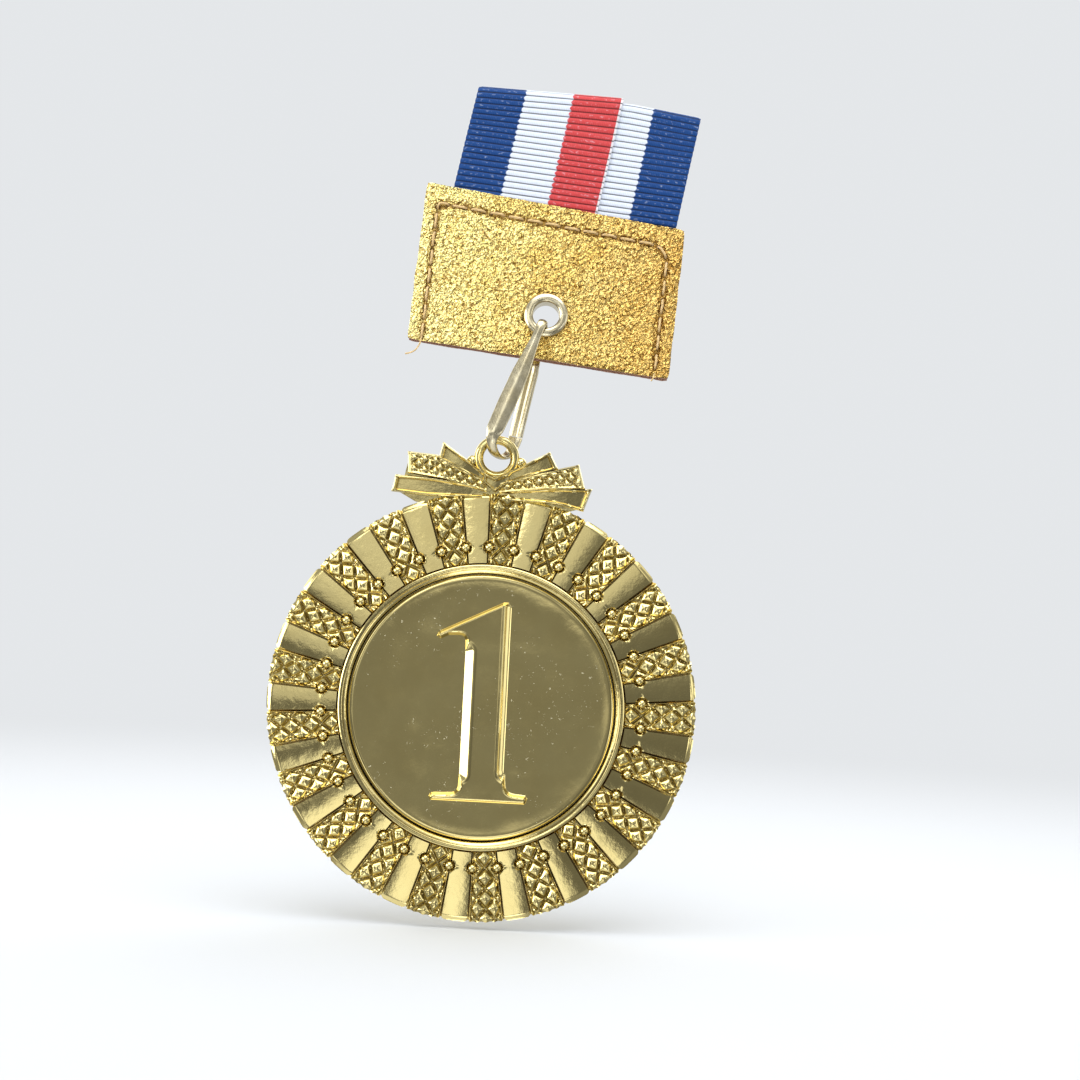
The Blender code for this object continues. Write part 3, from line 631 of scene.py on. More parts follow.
def rosette():
    """The casting's disc: the raised rim, the border, the edge and the back."""
    offsets = np.radians(sector_angles())
    angle = (FIRST_WEDGE + PITCH * np.arange(SECTORS)[:, None] + offsets[None, 1:]).ravel()
    columns = len(angle)
    share = np.linspace(0, 1, 64)[:, None]
    outer = outer_radius(angle)[None]
    r = BORDER_INNER_R + (outer - BORDER_INNER_R) * share
    z = border_height(np.broadcast_to(angle, r.shape), r)
    ring = [
        (20.2, 1.9), (20.32, 1.98), (20.36, 3.22), (20.48, 3.42), (20.66, 3.5), (20.82, 3.45), (20.92, 3.31),
        (21.02, 3.28), (21.12, 3.34), (21.48, 3.34), (21.62, 3.24), (21.68, 2.6), (21.8, 2.5),
    ]
    edge = [(0.0, 0.5), (-0.06, 0.28), (-0.3, 0.0), (-1.5, 0.0), (-1.65, 0.2)]
    back = [(27.0, 0.2), (21.0, 0.2), (20.85, 0.34), (20.55, 0.34), (20.4, 0.2), (10.0, 0.2)]
    flat = np.zeros(columns)
    rows_r = [flat + a for a, _ in ring] + [*r]
    rows_r += [outer[0] + a for a, _ in edge] + [flat + a for a, _ in back]
    rows_z = [flat + b for _, b in ring] + [*z] + [flat + b for _, b in edge + back]
    points = np.stack([rows_r * np.sin(angle), rows_r * np.cos(angle), rows_z], -1)
    verts, faces = capped(points, (0, 0, 1.9), (0, 0, 0.2))
    # The back, from its rounded edge inwards, has its own finish.
    at_back = np.arange(len(faces[0])) // columns > len(ring) + len(r)
    face_material = np.concatenate([at_back, np.zeros(columns), np.ones(columns)])
    looks = [cast_gold, back_gold]
    return build("casting_disc", verts, faces, MEDAL, looks, 32, face_material=face_material)


# ---- the centre disc and its numeral


def dished_disc():
    """The polished centre, flat in the middle and dished towards its edge."""
    profile = [
        (0, DISC_FACE_Z), (6, DISC_FACE_Z), (12, DISC_FACE_Z), (15, 2.718), (16, 2.722), (17, 2.738),
        (17.8, 2.76), (18.5, 2.79),
        (19.0, 2.82), (19.3, 2.84), (19.5, 2.845), (19.7, 2.83), (19.9, 2.78), (20.05, 2.68), (20.1, 2.5),
        (20.0, 2.4), (15, 2.35), (0, 2.35),
    ]
    return build("centre_disc_plate", *turned(profile, 256), MEDAL, mirror_gold, 50)


def numeral_sides():
    """The outline of a serif 1 as (start, end, bevel width) sides."""
    def curve(points, width, steps):
        points = soften(points, 9, steps, closed=False)
        return [(tuple(p), width) for p in points]

    path = [((2.7, 16.1), 0.5), ((3.5, 16.1), 0.8), ((4.1, 15.3), 1.25), ((4.15, -9.3), 1.25)]
    path += curve([(4.2, -9.6), (4.4, -12.6), (7.4, -12.85)], 0.45, 7)
    path += [((7.75, -13.3), 0.35), ((7.4, -14.3), 0.35), ((-7.0, -14.3), 0.35)]
    path += [((-7.25, -13.7), 0.3), ((-6.95, -13.15), 0.35)]
    path += curve([(-6.4, -13.05), (-2.9, -12.9), (-2.8, -10.3)], 0.45, 7)
    path += [((-2.8, -10.0), 1.3), ((-2.8, 8.0), 1.3)]
    path += curve([(-2.8, 8.4), (-2.85, 10.9), (-5.4, 10.75)], 0.45, 6)
    path += [((-6.6, 10.15), 0.3), ((-7.25, 10.6), 0.3), ((-6.9, 11.3), 0.38)]
    corners = [point for point, _ in path]
    return [(a, b, width) for (a, width), b in zip(path, corners[1:] + corners[:1])]


def numeral():
    """The raised numeral, with bevelled sides and a skirt that sinks into the disc."""
    sides = numeral_sides()
    outline = np.array([a for a, _, _ in sides])
    x, y = np.meshgrid(np.arange(-8.2, 8.8, 0.1), np.arange(-15.2, 17.1, 0.1))
    within = inside(x, y, outline)
    height = np.full(x.shape, 9.0)
    outside = np.full(x.shape, 9.0)
    # The bevels of the right side are hollow, the others are round.
    hollow = np.zeros(x.shape, bool)
    for a, b, width in sides:
        distance = segment_distance(x, y, a, b)
        hollow = np.where(distance / width < height, min(a[0], b[0]) > 3, hollow)
        height = np.minimum(height, distance / width)
        outside = np.minimum(outside, distance)
    rise = np.clip(height, 0, 1)
    top = np.where(within, NUMERAL_RISE * np.where(hollow, rise**1.9, 1 - (1 - rise) ** 1.25), -outside * 0.8)
    # A faint raised line runs round the edge of the face.
    top = top + np.where(within, 0.05 * hump(height - 1.08, 0.16), 0)
    keep = (outside < 0.42) | within
    keep = keep[:-1, :-1] & keep[1:, :-1] & keep[:-1, 1:] & keep[1:, 1:]
    verts, quads, _, _ = relief(x, y, top + DISC_FACE_Z - 0.02, NUMERAL_BASE_Z, keep)
    return build("numeral_1", verts, [quads], MEDAL, mirror_gold, 38)


# ---- the bow and its loop


def studs(s, t_mm, pitch):
    """Height, 0 to 1, of small square studs in diagonal rows."""
    a, b = (s + t_mm) / pitch, (s - t_mm) / pitch
    edge = 1 - 2 * np.maximum(np.abs(a - np.round(a)), np.abs(b - np.round(b)))
    return 1 - (1 - np.clip(edge, 0, 1)) ** 2.6


def bow_slab(name, low_line, high_line, level, kind, swell=0.35):
    """A band of the bow between two edge lines that run from its outer end to the knot."""
    low, high = resampled(low_line, count=90), resampled(high_line, count=90)
    length = lengths((low + high) / 2)
    share = length / length[-1]
    t = np.concatenate([[0, 0.02], np.linspace(0.05, 0.95, 25), [0.98, 1.0]])[None]
    x = low[:, :1] + (high[:, :1] - low[:, :1]) * t
    y = low[:, 1:] + (high[:, 1:] - low[:, 1:]) * t
    width = np.linalg.norm(high - low, axis=1)[:, None]
    from_edge = np.minimum(t, 1 - t) * width
    from_end = length[:, None] + 0 * t
    z = level + swell * np.sin(pi * np.clip(share * 1.15, 0, 1))[:, None] + 0 * t
    hem = ease(from_edge, 0.02, 0.16) * (1 - ease(from_edge, 0.34, 0.52))
    hem = np.maximum(hem, ease(from_end, 0.02, 0.2) * (1 - ease(from_end, 0.5, 0.75)))
    field = ease(from_edge, 0.36, 0.56) * ease(from_end, 0.5, 0.8)
    if kind == "studs":
        z = z + 0.2 * hem + field * (0.42 * studs(from_end, (t - 0.5) * width, STUD_PITCH) - 0.14)
        z = z - BAND_TILT * (t - 0.5) * width
    else:
        z = z + 0.34 * hem - 0.2 * field
    z = z - 0.25 * (1 - ease(np.minimum(from_edge, from_end), 0, 0.14))
    verts, quads, _, _ = relief(x, y, z, BOW_BACK_Z)
    return build(f"bow_{name}", verts, [quads], MEDAL, bow_gold, 35)


def bow():
    cx = LOOP[0]
    bands = [
        ("left_upper", [(-8.5, 37.1), (-6.0, 35.9), (-1.2, 33.6)],
         [(-7.8, 39.9), (-4.8, 37.9), (-1.4, 35.6)], 2.5, "hems"),
        ("left_textured", [(-12.9, 34.9), (-7.0, 34.1), (-0.9, 32.6)],
         [(-13.1, 38.2), (-8.6, 37.9), (-1.0, 34.4)], 2.75, "studs"),
        ("left_lower", [(-15.3, 32.0), (-10.0, 31.6), (-1.5, 31.6)],
         [(-14.8, 34.6), (-9.0, 34.4), (-1.3, 33.5)], 2.55, "hems"),
        ("right_upper", [(9.8, 36.6), (5.5, 35.2), (1.3, 33.5)],
         [(8.4, 39.2), (5.0, 37.3), (1.4, 35.5)], 2.6, "hems"),
        ("right_textured", [(14.0, 33.8), (7.5, 33.4), (1.0, 32.5)],
         [(12.9, 37.5), (9.5, 36.6), (1.1, 34.2)], 2.8, "studs"),
        ("right_lower", [(13.9, 30.4), (9.5, 31.3), (1.5, 31.4)],
         [(15.1, 33.9), (9.0, 33.7), (1.3, 33.0)], 2.5, "hems"),
        ("knot", [(cx - 2.0, 34.2), (cx, 32.6), (cx + 2.0, 34.2)],
         [(cx - 1.9, 35.6), (cx, 34.8), (cx + 1.9, 35.6)], 3.0, "hems", 0.2),
    ]
    return [bow_slab(*band) for band in bands]


def bow_backing():
    """The flat casting behind the bands, which closes the gaps between them."""
    outline = np.array([
        (1.6, 34.4), (-1.6, 34.6), (-7.9, 37.2), (-12.8, 37.6), (-13.4, 34.6), (-14.5, 34.0), (-14.9, 32.4),
        (-11.5, 30.6), (11.5, 30.2), (13.7, 30.9), (14.7, 33.4), (13.5, 34.0), (12.7, 36.9), (9.3, 36.2),
    ])
    count = len(outline)
    front = np.column_stack([outline, np.full(count, 2.1)])
    back = np.column_stack([outline, np.full(count, 0.3)])
    ring = np.arange(count)
    ahead = (ring + 1) % count
    walls = np.stack([ring, ahead, ahead + count, ring + count], -1)
    verts, faces = np.concatenate([front, back]), [[ring], [ring + count], walls]
    return build("bow_backing", verts, faces, MEDAL, bow_gold, 30)


def hanging_loop():
    """The ring that the hook passes through, and a bead at each side of its foot."""
    front, back = LOOP_MID_Z + LOOP_HALF_DEPTH, LOOP_MID_Z - LOOP_HALF_DEPTH
    side = [
        (2.05, back + 0.3), (2.05, front - 0.45), (2.5, front + 0.02), (2.62, front + 0.05),
        (2.72, front - 0.12), (3.1, front - 0.12), (3.36, front - 0.38), (3.42, front - 0.7),
        (3.42, back + 0.4), (3.15, back), (2.4, back),
    ]
    blocks = [turned(soften(side, 0.12, 2), 96, (*LOOP, 0))]
    for sign in (-1, 1):
        bead = [(BEAD_R * sin(a), BEAD_R * cos(a)) for a in np.linspace(0, pi, 17)]
        bead[0], bead[-1] = (0, BEAD_R), (0, -BEAD_R)
        blocks.append(turned(bead, 32, (LOOP[0] + sign * 3.65, LOOP[1] - 0.6, 1.9)))
    return build("loop_ring", *joined(blocks), MEDAL, bow_gold, 35)


# ---- the patch


def seam_line():
    """The seam's course: up the left side, across under the top edge and down the right side."""
    left, right, top = 2.1, 2.2, 3.0
    corners = [
        (PATCH_BL[0] + left, PATCH_BL[1] + 0.3), (PATCH_TL[0] + left, PATCH_TL[1] - top),
        (PATCH_TR[0] - right - 1.6, PATCH_TR[1] - top + 0.05), (PATCH_TR[0] - right, PATCH_TR[1] - top - 1.8),
        (PATCH_BR[0] - right, PATCH_BR[1] + 0.3),
    ]
    return soften(corners, 0.9, 4, closed=False)


def line_distance(x, y, line):
    nearest = np.full(np.shape(x), 9.0)
    for a, b in zip(line, line[1:]):
        nearest = np.minimum(nearest, segment_distance(x, y, a, b))
    return nearest


def stitch_spans(front):
    """The seam's points, and the distance along it at which each stitch of one thread starts."""
    line = resampled(seam_line(), SEAM_STEP)
    total = SEAM_STEP * (len(line) - 1)
    return line, np.arange(0.2, total - 1.5, STITCH_PITCH) + (0 if front else STITCH_PITCH / 2)


def thread(path, radius, sides=8):
    """A length of three-ply thread."""
    return tube(path, radius, sides, ply=3, turn=4.5)


def leather_height(x, y, seed, front):
    """How far the leather stands from its flat surface, and its grain from 0 in a crease to 1 on a top."""
    warp = 0.35 * waves(x, y, 5.0, 0.4, 12, seed + 5)
    field = waves(x + warp, y - warp, 0.8, 0.35, 46, seed)
    grain = 1 - hump(field, 0.36)
    small = waves(x, y, 0.62, 0.3, 30, seed + 1)
    height = 0.13 * grain + 0.03 * small * grain + 0.02 * field + 0.05 * waves(x, y, 9.0, 0.3, 14, seed + 2)
    seam = line_distance(x, y, seam_line())
    height = height - 0.22 * hump(seam, 0.5) + 0.10 * hump(seam - 1.1, 0.6)
    line, starts = stitch_spans(front)
    for start in starts:
        ends = (int(place / SEAM_STEP) for place in (start, start + STITCH_LENGTH))
        first, last = (line[min(end, len(line) - 1)] for end in ends)
        for spot in (first, last):
            height = height - 0.2 * np.exp(-(((x - spot[0]) ** 2 + (y - spot[1]) ** 2) / 0.1))
        if np.hypot(*(last - first)) > 0.5:
            pressed = hump(segment_distance(x, y, first, last), 0.38)
            grain = grain * (1 - pressed)
            height = height - 0.06 * pressed
    flange = np.hypot(x, y)
    height = height - 0.12 * (1 - ease(flange, 3.4, 4.1)) + 0.09 * hump(flange - 4.8, 1.1)
    height = height + 0.22 * hump(x, 6) * hump(y + 5.6, 1.6) * (1 if front else 0.4)
    return height, grain


def leather(name, side, seed, node):
    """One leather of the patch, on the front (side 1) or the back (side -1)."""
    s = np.linspace(0, 1, 280)[None]
    t = np.linspace(0, 1, 168)[:, None]
    corner = [np.array(c) for c in (PATCH_BL, PATCH_BR, PATCH_TL, PATCH_TR)]
    spots = [(1 - s) * (1 - t), s * (1 - t), (1 - s) * t, s * t]
    x = sum(w * c[0] for w, c in zip(spots, corner))
    y = sum(w * c[1] for w, c in zip(spots, corner))
    # Hand-cut edges wander a little, and the corners are cut slightly round.
    from_side, from_end = np.minimum(s, 1 - s) * 40, np.minimum(t, 1 - t) * 24
    rim = np.minimum(from_side, from_end)
    wander = 0.035 * waves(s * 40 + t * 24, np.full(x.shape, seed), 7.0, 0.5, 8, seed + 3)
    x = x + wander * (1 - ease(rim, 0, 1.0)) * np.sign(s - 0.5)
    corner_pull = 0.14 * np.exp(-(from_side**2 + from_end**2) / 0.35)
    x = x - corner_pull * np.sign(s - 0.5)
    y = y - corner_pull * np.sign(t - 0.5) + 0.02 * np.sin(x * 0.8 + seed) * (1 - ease(rim, 0, 1.0))
    height, grain = leather_height(x, y, seed, side > 0)
    edge_roll = 0.2 * (1 - ease(rim, 0, 0.45)) ** 1.5
    outer = side * (CORE_HALF + LEATHER_T - 0.06 + height - edge_roll)
    inner = side * (CORE_HALF + 0.02)
    # The cells under the eyelet's flange are left out.
    keep = np.hypot(x[:-1, :-1] + x[1:, 1:], y[:-1, :-1] + y[1:, 1:]) / 2 > 2.45
    verts, quads, used, (tops, unders, walls) = relief(x, y, outer, inner, keep)
    all_grain = np.concatenate([grain.ravel(), np.zeros(grain.size)])[used]
    face_material = np.concatenate([np.zeros(tops, int), np.ones(unders + walls, int)])
    obj = build(name, verts, [quads], PATCH, [foil_leather, raw_edge], 60,
                attributes={"grain": all_grain}, face_material=face_material)
    carry(obj, "patch", "gold_leather", node)


def stitches(name, side, node):
    """One thread's stitches, which dip into the leather at their ends, and the front thread's loose tails."""
    line, starts = stitch_spans(side > 0)
    blocks = []
    for number, start in enumerate(starts):
        first = int(start / SEAM_STEP)
        span = line[first : first + int(STITCH_LENGTH / SEAM_STEP) + 1]
        if len(span) < 8:
            continue
        t = np.linspace(-1, 1, len(span))
        lift = 0.16 - 0.62 * np.abs(t) ** 5
        sway = 0.05 * sin(number * 2.1)
        z = side * (CORE_HALF + LEATHER_T + lift)
        path = np.column_stack([span + sway * (1 - t**2)[:, None], z])
        blocks.append(thread(path, THREAD_R, 9))
    if side > 0:
        surface = CORE_HALF + LEATHER_T + 0.1
        left, right = line[0], line[-1]
        tails = [
            [(left[0], left[1] + 0.2, surface), (left[0] - 0.05, left[1] - 0.8, surface + 0.25),
             (left[0] - 0.4, left[1] - 1.8, surface + 0.2), (left[0] - 1.2, left[1] - 2.5, surface),
             (left[0] - 2.1, left[1] - 2.7, surface - 0.2)],
            [(right[0], right[1] + 0.2, surface), (right[0] - 0.1, right[1] - 0.5, surface + 0.2),
             (right[0] - 0.4, right[1] - 1.0, surface + 0.1)],
        ]
        for tail in tails:
            path = resampled(soften(tail, 0.5, 5, closed=False), 0.08)
            blocks.append(thread(path, TAIL_R))
    carry(build(name, *joined(blocks), PATCH, tan_thread, 80), "patch", "tan_thread", node)


def eyelet_pieces():
    """The eyelet's flanged and rolled tube, and the washer behind the patch."""
    front = CORE_HALF + LEATHER_T
    rear = -front - WASHER_T
    shell = [
        (2.0, -front - 0.3), (2.0, front + 0.15), (2.12, front + 0.42), (2.4, front + 0.58),
        (2.9, front + 0.56), (3.25, front + 0.38), (3.45, front + 0.1), (3.4, front - 0.05),
        (3.2, front + 0.02), (2.25, front + 0.05), (2.25, rear - 0.02), (2.6, rear - 0.05),
        (2.9, rear - 0.08), (2.86, rear - 0.3), (2.5, rear - 0.46), (2.15, rear - 0.4),
    ]
    washer = [
        (2.3, -front - 0.02), (3.3, -front - 0.02), (3.4, -front - 0.1), (3.35, -front - 0.2),
        (2.9, rear), (2.3, rear),
    ]
    for name, side, rounding, node in (
        ("eyelet_shell", shell, 0.14, "eyelet"), ("eyelet_back_washer", washer, 0.08, "eyelet_washer"),
    ):
        piece = build(name, *turned(soften(side, rounding), 96), PATCH, nickel, 50)
        carry(piece, "patch", "nickel", node)


# ---- the ribbon


def top_edge_y(x):
    (x0, y0), (x1, y1) = PATCH_TL, PATCH_TR
    return y0 + (y1 - y0) * (x - x0) / (x1 - x0)


def layer_z(strand, layer):
    """Middle of one ribbon layer behind the patch. The strands change places at every bend."""
    first = "right" if layer % 2 == 0 else "left"
    return -(STACK_FRONT_Z + layer * STACK_PASS_PITCH + (0 if strand == first else RIBBON_PITCH))


def fold_course(strand):
    """Side view (y, z) of a strand from its upper leg, over the top and back and forth behind the patch."""
    before = 0.2 if strand == "left" else -0.2
    course = [(LEG_SPLIT_Y, before), (FOLD_Y - 3, before)]
    for layer in range(STACK_PASSES):
        z = layer_z(strand, layer)
        radius = (before - z) / 2
        upward = 1 if layer % 2 == 0 else -1
        # The folds sag and creep a little, so that no two bends line up exactly.
        creep = 0.18 * sin(layer * 2.3 + (0 if strand == "left" else 0.4))
        y = (FOLD_Y if upward > 0 else STACK_BOTTOM_Y) + creep
        for angle in np.linspace(0, pi, 13):
            course.append((y + upward * radius * sin(angle), z + radius * (1 + cos(angle))))
        before = z
    course.append((SEAM_Y, before))
    return np.array(course)


def fold_shear(strand, u, z):
    """How much higher than square a top fold lies at distance u from the strand's left edge."""
    if strand == "left":
        first = 0.058 * u - 0.6
    else:
        first = np.minimum(0.035 * u - 0.1, 0.25 - 0.062 * np.maximum(u - 12, 0))
    later = 0.03 * np.sin(2.1 * z) * (u - RIBBON_W / 2)
    return later + (first - later) * ease(z, -3.2, -2.2)


def ribbon_strip(name, strand, course, v_start):
    """A closed strip of ribbed ribbon along a side-view course of (y, z) points."""
    left_x, lean, _ = STRANDS[strand]
    dense = resampled(course, 0.05)
    length = 0.05 * np.arange(len(dense))
    phases = np.array([0.0, 0.14, 0.32, 0.5, 0.68, 0.86])
    v = (RIB * (np.arange(int(length[-1] / RIB) + 2)[:, None] + phases[None])).ravel()
    v = v[v < length[-1] - 0.05]
    v = np.append(v, length[-1])
    y, z = np.interp(v, length, dense[:, 0]), np.interp(v, length, dense[:, 1])
    dy, dz = np.gradient(y, v), np.gradient(z, v)
    size = np.hypot(dy, dz)
    # The face that starts at the front.
    ny, nz = -dz / size, dy / size
    start_x = left_x + tan(lean) * (y - top_edge_y(left_x))
    edge = np.array([0, 0.18, 0.42, 0.8])
    u = np.concatenate([edge, np.linspace(1.6, RIBBON_W - 1.6, 16), RIBBON_W - edge[::-1]])
    ridge = np.abs(np.sin(pi * (v + v_start) / RIB)) ** 0.75
    bound = np.minimum(u, RIBBON_W - u)
    body = ease(bound, 0.05, 0.5)
    half = (0.075 + 0.125 * ridge[:, None] * (0.4 + 0.6 * body[None])) * (0.7 + 0.3 * body[None])
    wave = 0.05 * waves(*np.meshgrid(u, v), 14.0, 0.4, 10, 11 if strand == "left" else 12)
    outward = (1 - ease(bound, 0, 0.6)) * np.sign(u - RIBBON_W / 2)
    edge_push = 0.07 * (ridge - 0.5)[:, None] * outward[None]
    x = start_x[:, None] + u[None] / cos(lean) + edge_push
    shear = fold_shear(strand, u[None], z[:, None]) * ease(y, FOLD_Y - 8, FOLD_Y)[:, None]
    sides = []
    for sign in (1, -1):
        reach = sign * half + 0.35 * wave * (np.abs(nz) > 0.5)[:, None]
        yy = y[:, None] + ny[:, None] * reach + shear
        zz = z[:, None] + nz[:, None] * reach
        sides.append(np.stack([x + 0 * yy, yy, zz], -1))
    ring = np.concatenate([sides[0], sides[1][:, ::-1]], axis=1)
    rows, around, _ = ring.shape
    columns = len(u)
    faces = [grid_quads(rows, around, wrap=True)]
    for row in (0, rows - 1):
        base = row * around
        i = np.arange(columns - 1)
        faces.append(np.stack([base + i, base + i + 1, base + around - 2 - i, base + around - 1 - i], -1))
    across = u if strand == "left" else RIBBON_W - u
    around_u = np.concatenate([across, across[::-1]])
    attributes = {
        "u": np.broadcast_to(around_u, (rows, around)),
        "v": np.broadcast_to((v + v_start)[:, None], (rows, around)),
    }
    return build(name, ring.reshape(-1, 3), faces, PATCH, ribbon_cloth, 50, attributes=attributes)


def ribbon():
    upward = unit(np.cross(patch_z, flex_axis))
    if upward @ PATCH[:3, 1] < 0:
        upward = -upward
    for strand in ("left", "right"):
        left_x, _, z = STRANDS[strand]
        low = top_edge_y(left_x + 11) - END_DEPTH
        lower = ribbon_strip(f"ribbon_{strand}_lower", strand, [(low, z), (LEG_SPLIT_Y, z)], 0.0)
        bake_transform(lower)
        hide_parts(f"ribbon_{strand}_end", f"ribbon_{strand}_leg")
        upper = ribbon_strip(f"ribbon_{strand}_upper", strand, fold_course(strand), LEG_SPLIT_Y - low)
        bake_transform(upper)
        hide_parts(f"ribbon_{strand}_folds")


def neck_seam():
    """Two rows of short stitches that join the strands at the far end."""
    layer = STACK_PASSES - 1
    z = min(layer_z("left", layer), layer_z("right", layer)) - RIBBON_T / 2
    blocks = []
    for row_y in (SEAM_Y + 1.2, SEAM_Y + 3.0):
        for x in np.arange(-3.4, 4.2, 1.5):
            t = np.linspace(-1, 1, 12)
            dip = z - 0.16 + 0.5 * np.abs(t) ** 5
            path = np.stack([x + 0.55 * t, np.full(12, row_y + 0.05 * np.sin(x)), dip], -1)
            blocks.append(thread(path, NECK_THREAD_R))
    obj = build("neck_seam_stitches", *joined(blocks), PATCH, tan_thread, 80)
    carry(obj, "ribbon_folds", "tan_thread", "neck_seam_thread")


# ---- the hook


def skew(u):
    return 0.04 + 0.027 * u


def hook_points(course):
    u, depth = course[:, 0], course[:, 1]
    return np.stack([-depth * skew(u), -u - TOP_BEND_BELOW_EYELET, depth], -1)


FRONT_WIDTHS = ([0, 3, 9, 14, 18.2, 20.3], [1.35, 1.4, 2.6, 2.8, 2.6, 1.5])
REAR_WIDTHS = ([0, 3, 7.5, 18, 20], [1.35, 1.4, 2.2, 2.2, 1.5])
FRONT_TWIST, REAR_TWIST = 0.07, 0.24


def strap(name, course, widths, form):
    """A flat strip along a course of (u, depth) stations. form is its middle's offset across its width."""
    centre = hook_points(course)
    tangent = np.gradient(centre, axis=0)
    tangent /= np.linalg.norm(tangent, axis=1)[:, None]
    twist = np.where(course[:, 1] > 0, FRONT_TWIST, REAR_TWIST)
    wide = np.stack([np.ones(len(course)), np.zeros(len(course)), twist], -1)
    wide -= tangent * (wide * tangent).sum(axis=1)[:, None]
    wide /= np.linalg.norm(wide, axis=1)[:, None]
    thin = np.cross(tangent, wide)
    phi = TAU * (np.arange(40) + 0.5) / 40
    w = np.sign(np.cos(phi)) * np.abs(np.cos(phi)) ** 0.85
    t = np.sign(np.sin(phi)) * np.abs(np.sin(phi)) ** 0.32
    offset = form(w)
    half = np.asarray(widths)[:, None] / 2
    out = (half * w[None])[..., None]
    up = (t[None] * HOOK_T / 2 + offset[None] * np.minimum(1, half / 1.1))[..., None]
    rings = centre[:, None] + wide[:, None] * out + thin[:, None] * up
    return build(name, *capped(rings, centre[0], centre[-1]), HOOK, nickel, 42)


def hook():
    """The folded strip, its front leg tented along its middle, and its sprung gate with a grooved middle."""
    bend_u = hook_length - BOTTOM_R
    flat = TOP_HALF_DEPTH - TOP_CORNER_R
    over = [(GATE_TOP_U + 0.4, -TOP_HALF_DEPTH), (2.2, -TOP_HALF_DEPTH)]
    quarter = [(TOP_CORNER_R * cos(a), TOP_CORNER_R * sin(a)) for a in np.linspace(0, pi / 2, 10)]
    over += [(TOP_CORNER_R - rise, -flat - reach) for reach, rise in quarter]
    over += [(TOP_CORNER_R - rise, flat + reach) for rise, reach in quarter]
    share = np.linspace(0, 1, 40)[1:]
    top, bend = np.array([TOP_CORNER_R, TOP_HALF_DEPTH]), np.array([bend_u, BOTTOM_R])
    front = top + (bend - top) * share[:, None]
    half_turn = np.linspace(0, pi, 26)[1:]
    bottom = [(bend_u + BOTTOM_R * sin(a), BOTTOM_R * cos(a)) for a in half_turn]
    nose = [(GATE_TIP_U + HOOK_GAP + 0.4, -BOTTOM_R), (GATE_TIP_U + HOOK_GAP, -BOTTOM_R)]
    course = np.concatenate([over, front, bottom, nose])
    front_width, rear_width = (np.interp(course[:, 0], *widths) for widths in (FRONT_WIDTHS, REAR_WIDTHS))
    widths = np.where(course[:, 1] > 0, front_width, rear_width)
    tent = lambda w: 0.3 - np.where(w < 0, -0.18, 0.3) * w
    body = strap("hook_strap", course, widths, tent)
    carry(body, "hook", "nickel", "hook_body")
    share = np.linspace(0, 1, 34)
    start = np.array([GATE_TOP_U, -TOP_HALF_DEPTH])
    tip = np.array([GATE_TIP_U + 0.2, -BOTTOM_R])
    course = start + (tip - start) * share[:, None]
    course[:, 1] = np.where(course[:, 0] < GATE_ROOT_U, -TOP_HALF_DEPTH, course[:, 1])
    widths = np.interp(course[:, 0], *REAR_WIDTHS)
    groove = lambda w: 0.09 - 0.16 * hump(w, 0.2) - 0.12 * w**2
    gate = strap("gate_strap", course, widths, groove)
    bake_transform(gate)
    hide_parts("hook_gate")


# ---- assembly

carry(rosette(), "medal", "cast_gold", "medal_casting")
for part in (*bow(), bow_backing()):
    carry(part, "medal", "cast_gold")
carry(hanging_loop(), "medal", "cast_gold")
carry(dished_disc(), "medal", "polished_gold", "centre_disc")
carry(numeral(), "medal", "polished_gold")
leather("front_leather", 1, 31, "patch_front_leather")
leather("back_leather", -1, 47, "patch_back_leather")
stitches("needle_stitches", 1, "needle_thread")
stitches("bobbin_stitches", -1, "bobbin_thread")
eyelet_pieces()
ribbon()
neck_seam()
hook()
for node, material in (("adhesive_pad", foam), ("patch_stiffener", board)):
    mesh = frame["nodes"][node].data
    mesh.materials.clear()
    mesh.materials.append(material)


# ---- floor, light and camera

PALE = (0.78, 0.80, 0.82)
FLOOR_Z = -33.6


def pale_floor():
    """A round floor that fades into the backdrop's colour away from the object."""
    look = Look("pale_floor")
    distance = look.node("ShaderNodeVectorMath", {0: look.mm}, operation="LENGTH").outputs["Value"]
    fade = look.fit(distance, 90.0, 420.0, smooth=True)
    glow = look.node("ShaderNodeEmission", {"Color": PALE, "Strength": 1.0})
    mixed = look.node("ShaderNodeMixShader", {0: fade, 1: look.shader.outputs[0], 2: glow.outputs[0]})
    look.tree.links.new(mixed.outputs[0], look.tree.nodes["Material Output"].inputs["Surface"])
    look.set(Base_Color=(0.50, 0.51, 0.52), Roughness=0.8, Specular_IOR_Level=0.1)
    angle = TAU * np.arange(96) / 96
    radius = np.array([150, 600, 2000])[:, None]
    points = np.stack([radius * np.sin(angle), radius * np.cos(angle), np.full((3, 96), FLOOR_Z)], -1)
    faces = [grid_quads(3, 96, wrap=True), [range(95, -1, -1)]]
    floor = build("floor", points.reshape(-1, 3), faces, placed((0, 0, 0), *np.eye(3)), look.material)
    floor.visible_glossy = False


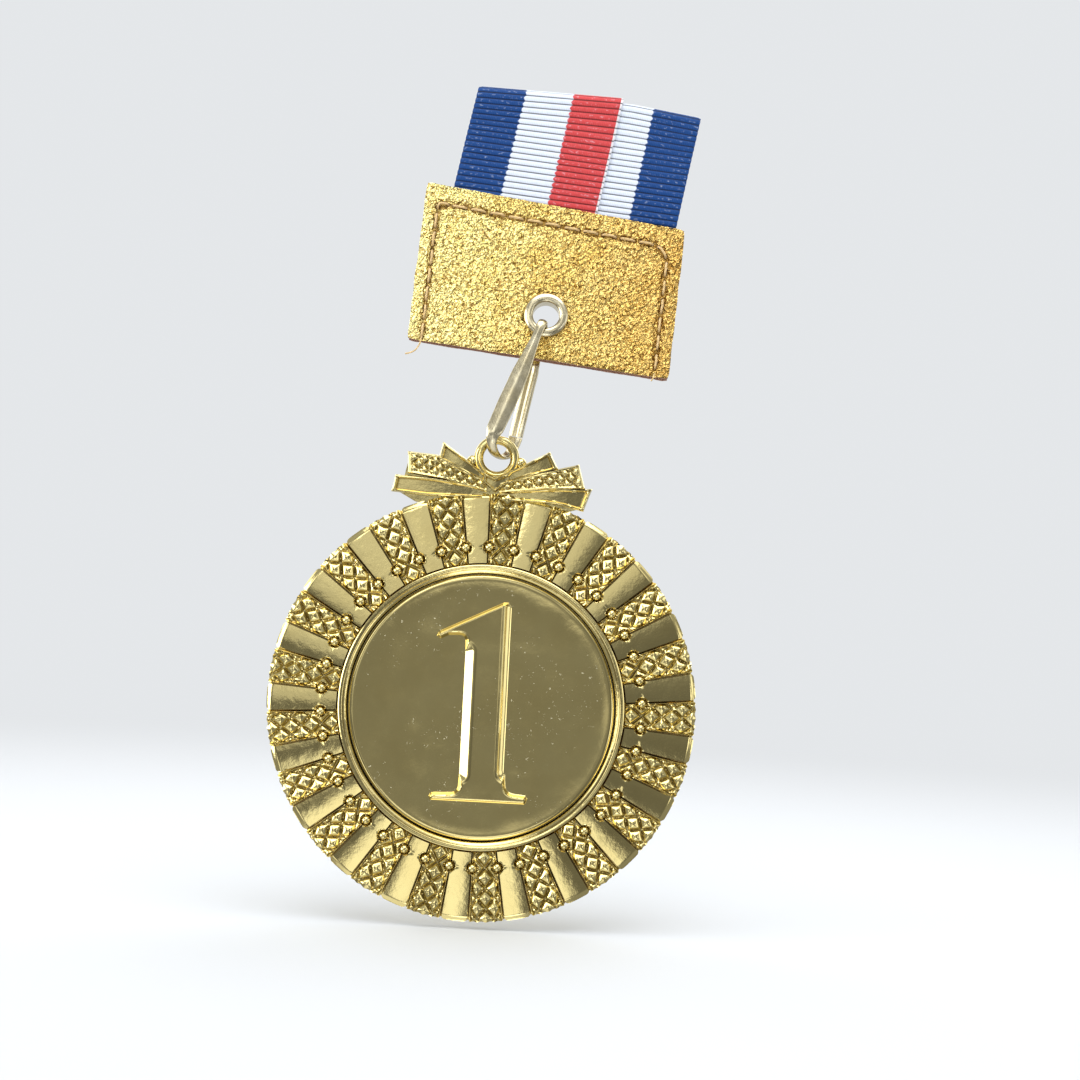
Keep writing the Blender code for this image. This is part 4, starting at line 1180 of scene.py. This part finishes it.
def studio_light():
    """A world that the camera sees as plain and pale, and the metal as soft boxes round a grey room."""
    world = bpy.data.worlds.new("studio")
    bpy.context.scene.world = world
    world.use_nodes = True
    sky = Nodes(world.node_tree)
    sky.tree.nodes.clear()
    way = sky.node("ShaderNodeTexCoord").outputs["Generated"]
    apart = sky.node("ShaderNodeSeparateXYZ", {0: way})
    room = sky.fit(apart.outputs["Z"], -0.1, 0.9, 0.22, 0.5)
    behind = sky.fit(apart.outputs["Y"], -0.2, 0.8, 0.0, 0.35)
    aside = sky.fit(apart.outputs["Y"], -0.93, -0.7, 0.0, 0.17)
    total = sky.plus(sky.plus(room, behind), aside)
    for azimuth, elevation, inner, outer, strength in SOFT_BOXES:
        a, e = radians(azimuth), radians(elevation)
        toward = (sin(a) * cos(e), -cos(a) * cos(e), sin(e))
        facing = sky.node("ShaderNodeVectorMath", {0: way, 1: toward}, operation="DOT_PRODUCT").outputs[1]
        dark, full = cos(radians(outer)), cos(radians(inner))
        total = sky.plus(total, sky.fit(facing, dark, full, 0.0, strength, smooth=True))
    tinted = sky.node("ShaderNodeBackground", {"Color": (0.97, 0.985, 1.0), "Strength": total})
    plain = sky.node("ShaderNodeBackground", {"Color": PALE, "Strength": 1.0})
    seen = sky.node("ShaderNodeLightPath").outputs["Is Camera Ray"]
    mixed = sky.node("ShaderNodeMixShader", {0: seen, 1: tinted.outputs[0], 2: plain.outputs[0]})
    sky.node("ShaderNodeOutputWorld", {"Surface": mixed.outputs[0]})


# Azimuth (0 is in front of the object, 90 to its right), elevation, inner and outer half angle, strength
SOFT_BOXES = [
    (-68, 4, 15, 25, 6.0),
    (10, 70, 24, 38, 3.6),
    (70, 6, 9, 20, 1.5),
    (-25, -62, 14, 34, 0.9),
    (-3, 12, 6, 14, 0.7),
    (-14, 2, 2, 8, 0.6),
    (-3, -17.5, 3, 12, 1.5),
    (0, -3.5, 2.5, 9, 0.1),
    (-8.5, -3.5, 1.2, 4.5, 0.45),
    (-13, 18, 3, 10, 3.1),
    (30, 26, 5, 12, 0.9),
    (-30, -20, 4, 10, 1.4),
    (-38, 14, 5, 12, 1.8),
    (37, -5, 4, 10, 2.4),
    (-5, 38, 5, 12, 3.0),
    (4, -40, 5, 12, 2.8),
    (150, 30, 16, 34, 1.6),
    (-140, 18, 16, 34, 1.4),
]


def camera():
    data = bpy.data.cameras.new("camera")
    data.lens, data.sensor_width = 92.0, 36.0
    data.clip_start, data.clip_end = 0.01, 20
    obj = bpy.data.objects.new("camera", data)
    bpy.context.scene.collection.objects.link(obj)
    roll = radians(3)
    right, up = (cos(roll), 0, sin(roll)), (-sin(roll), 0, cos(roll))
    matrix = Matrix((right, up, (0, -1, 0))).transposed().to_4x4()
    matrix.translation = (0.00757, -0.420, 0.0258)
    obj.matrix_world = matrix
    bpy.context.scene.camera = obj


pale_floor()
studio_light()
camera()
bpy.context.scene.view_settings.view_transform = "Standard"
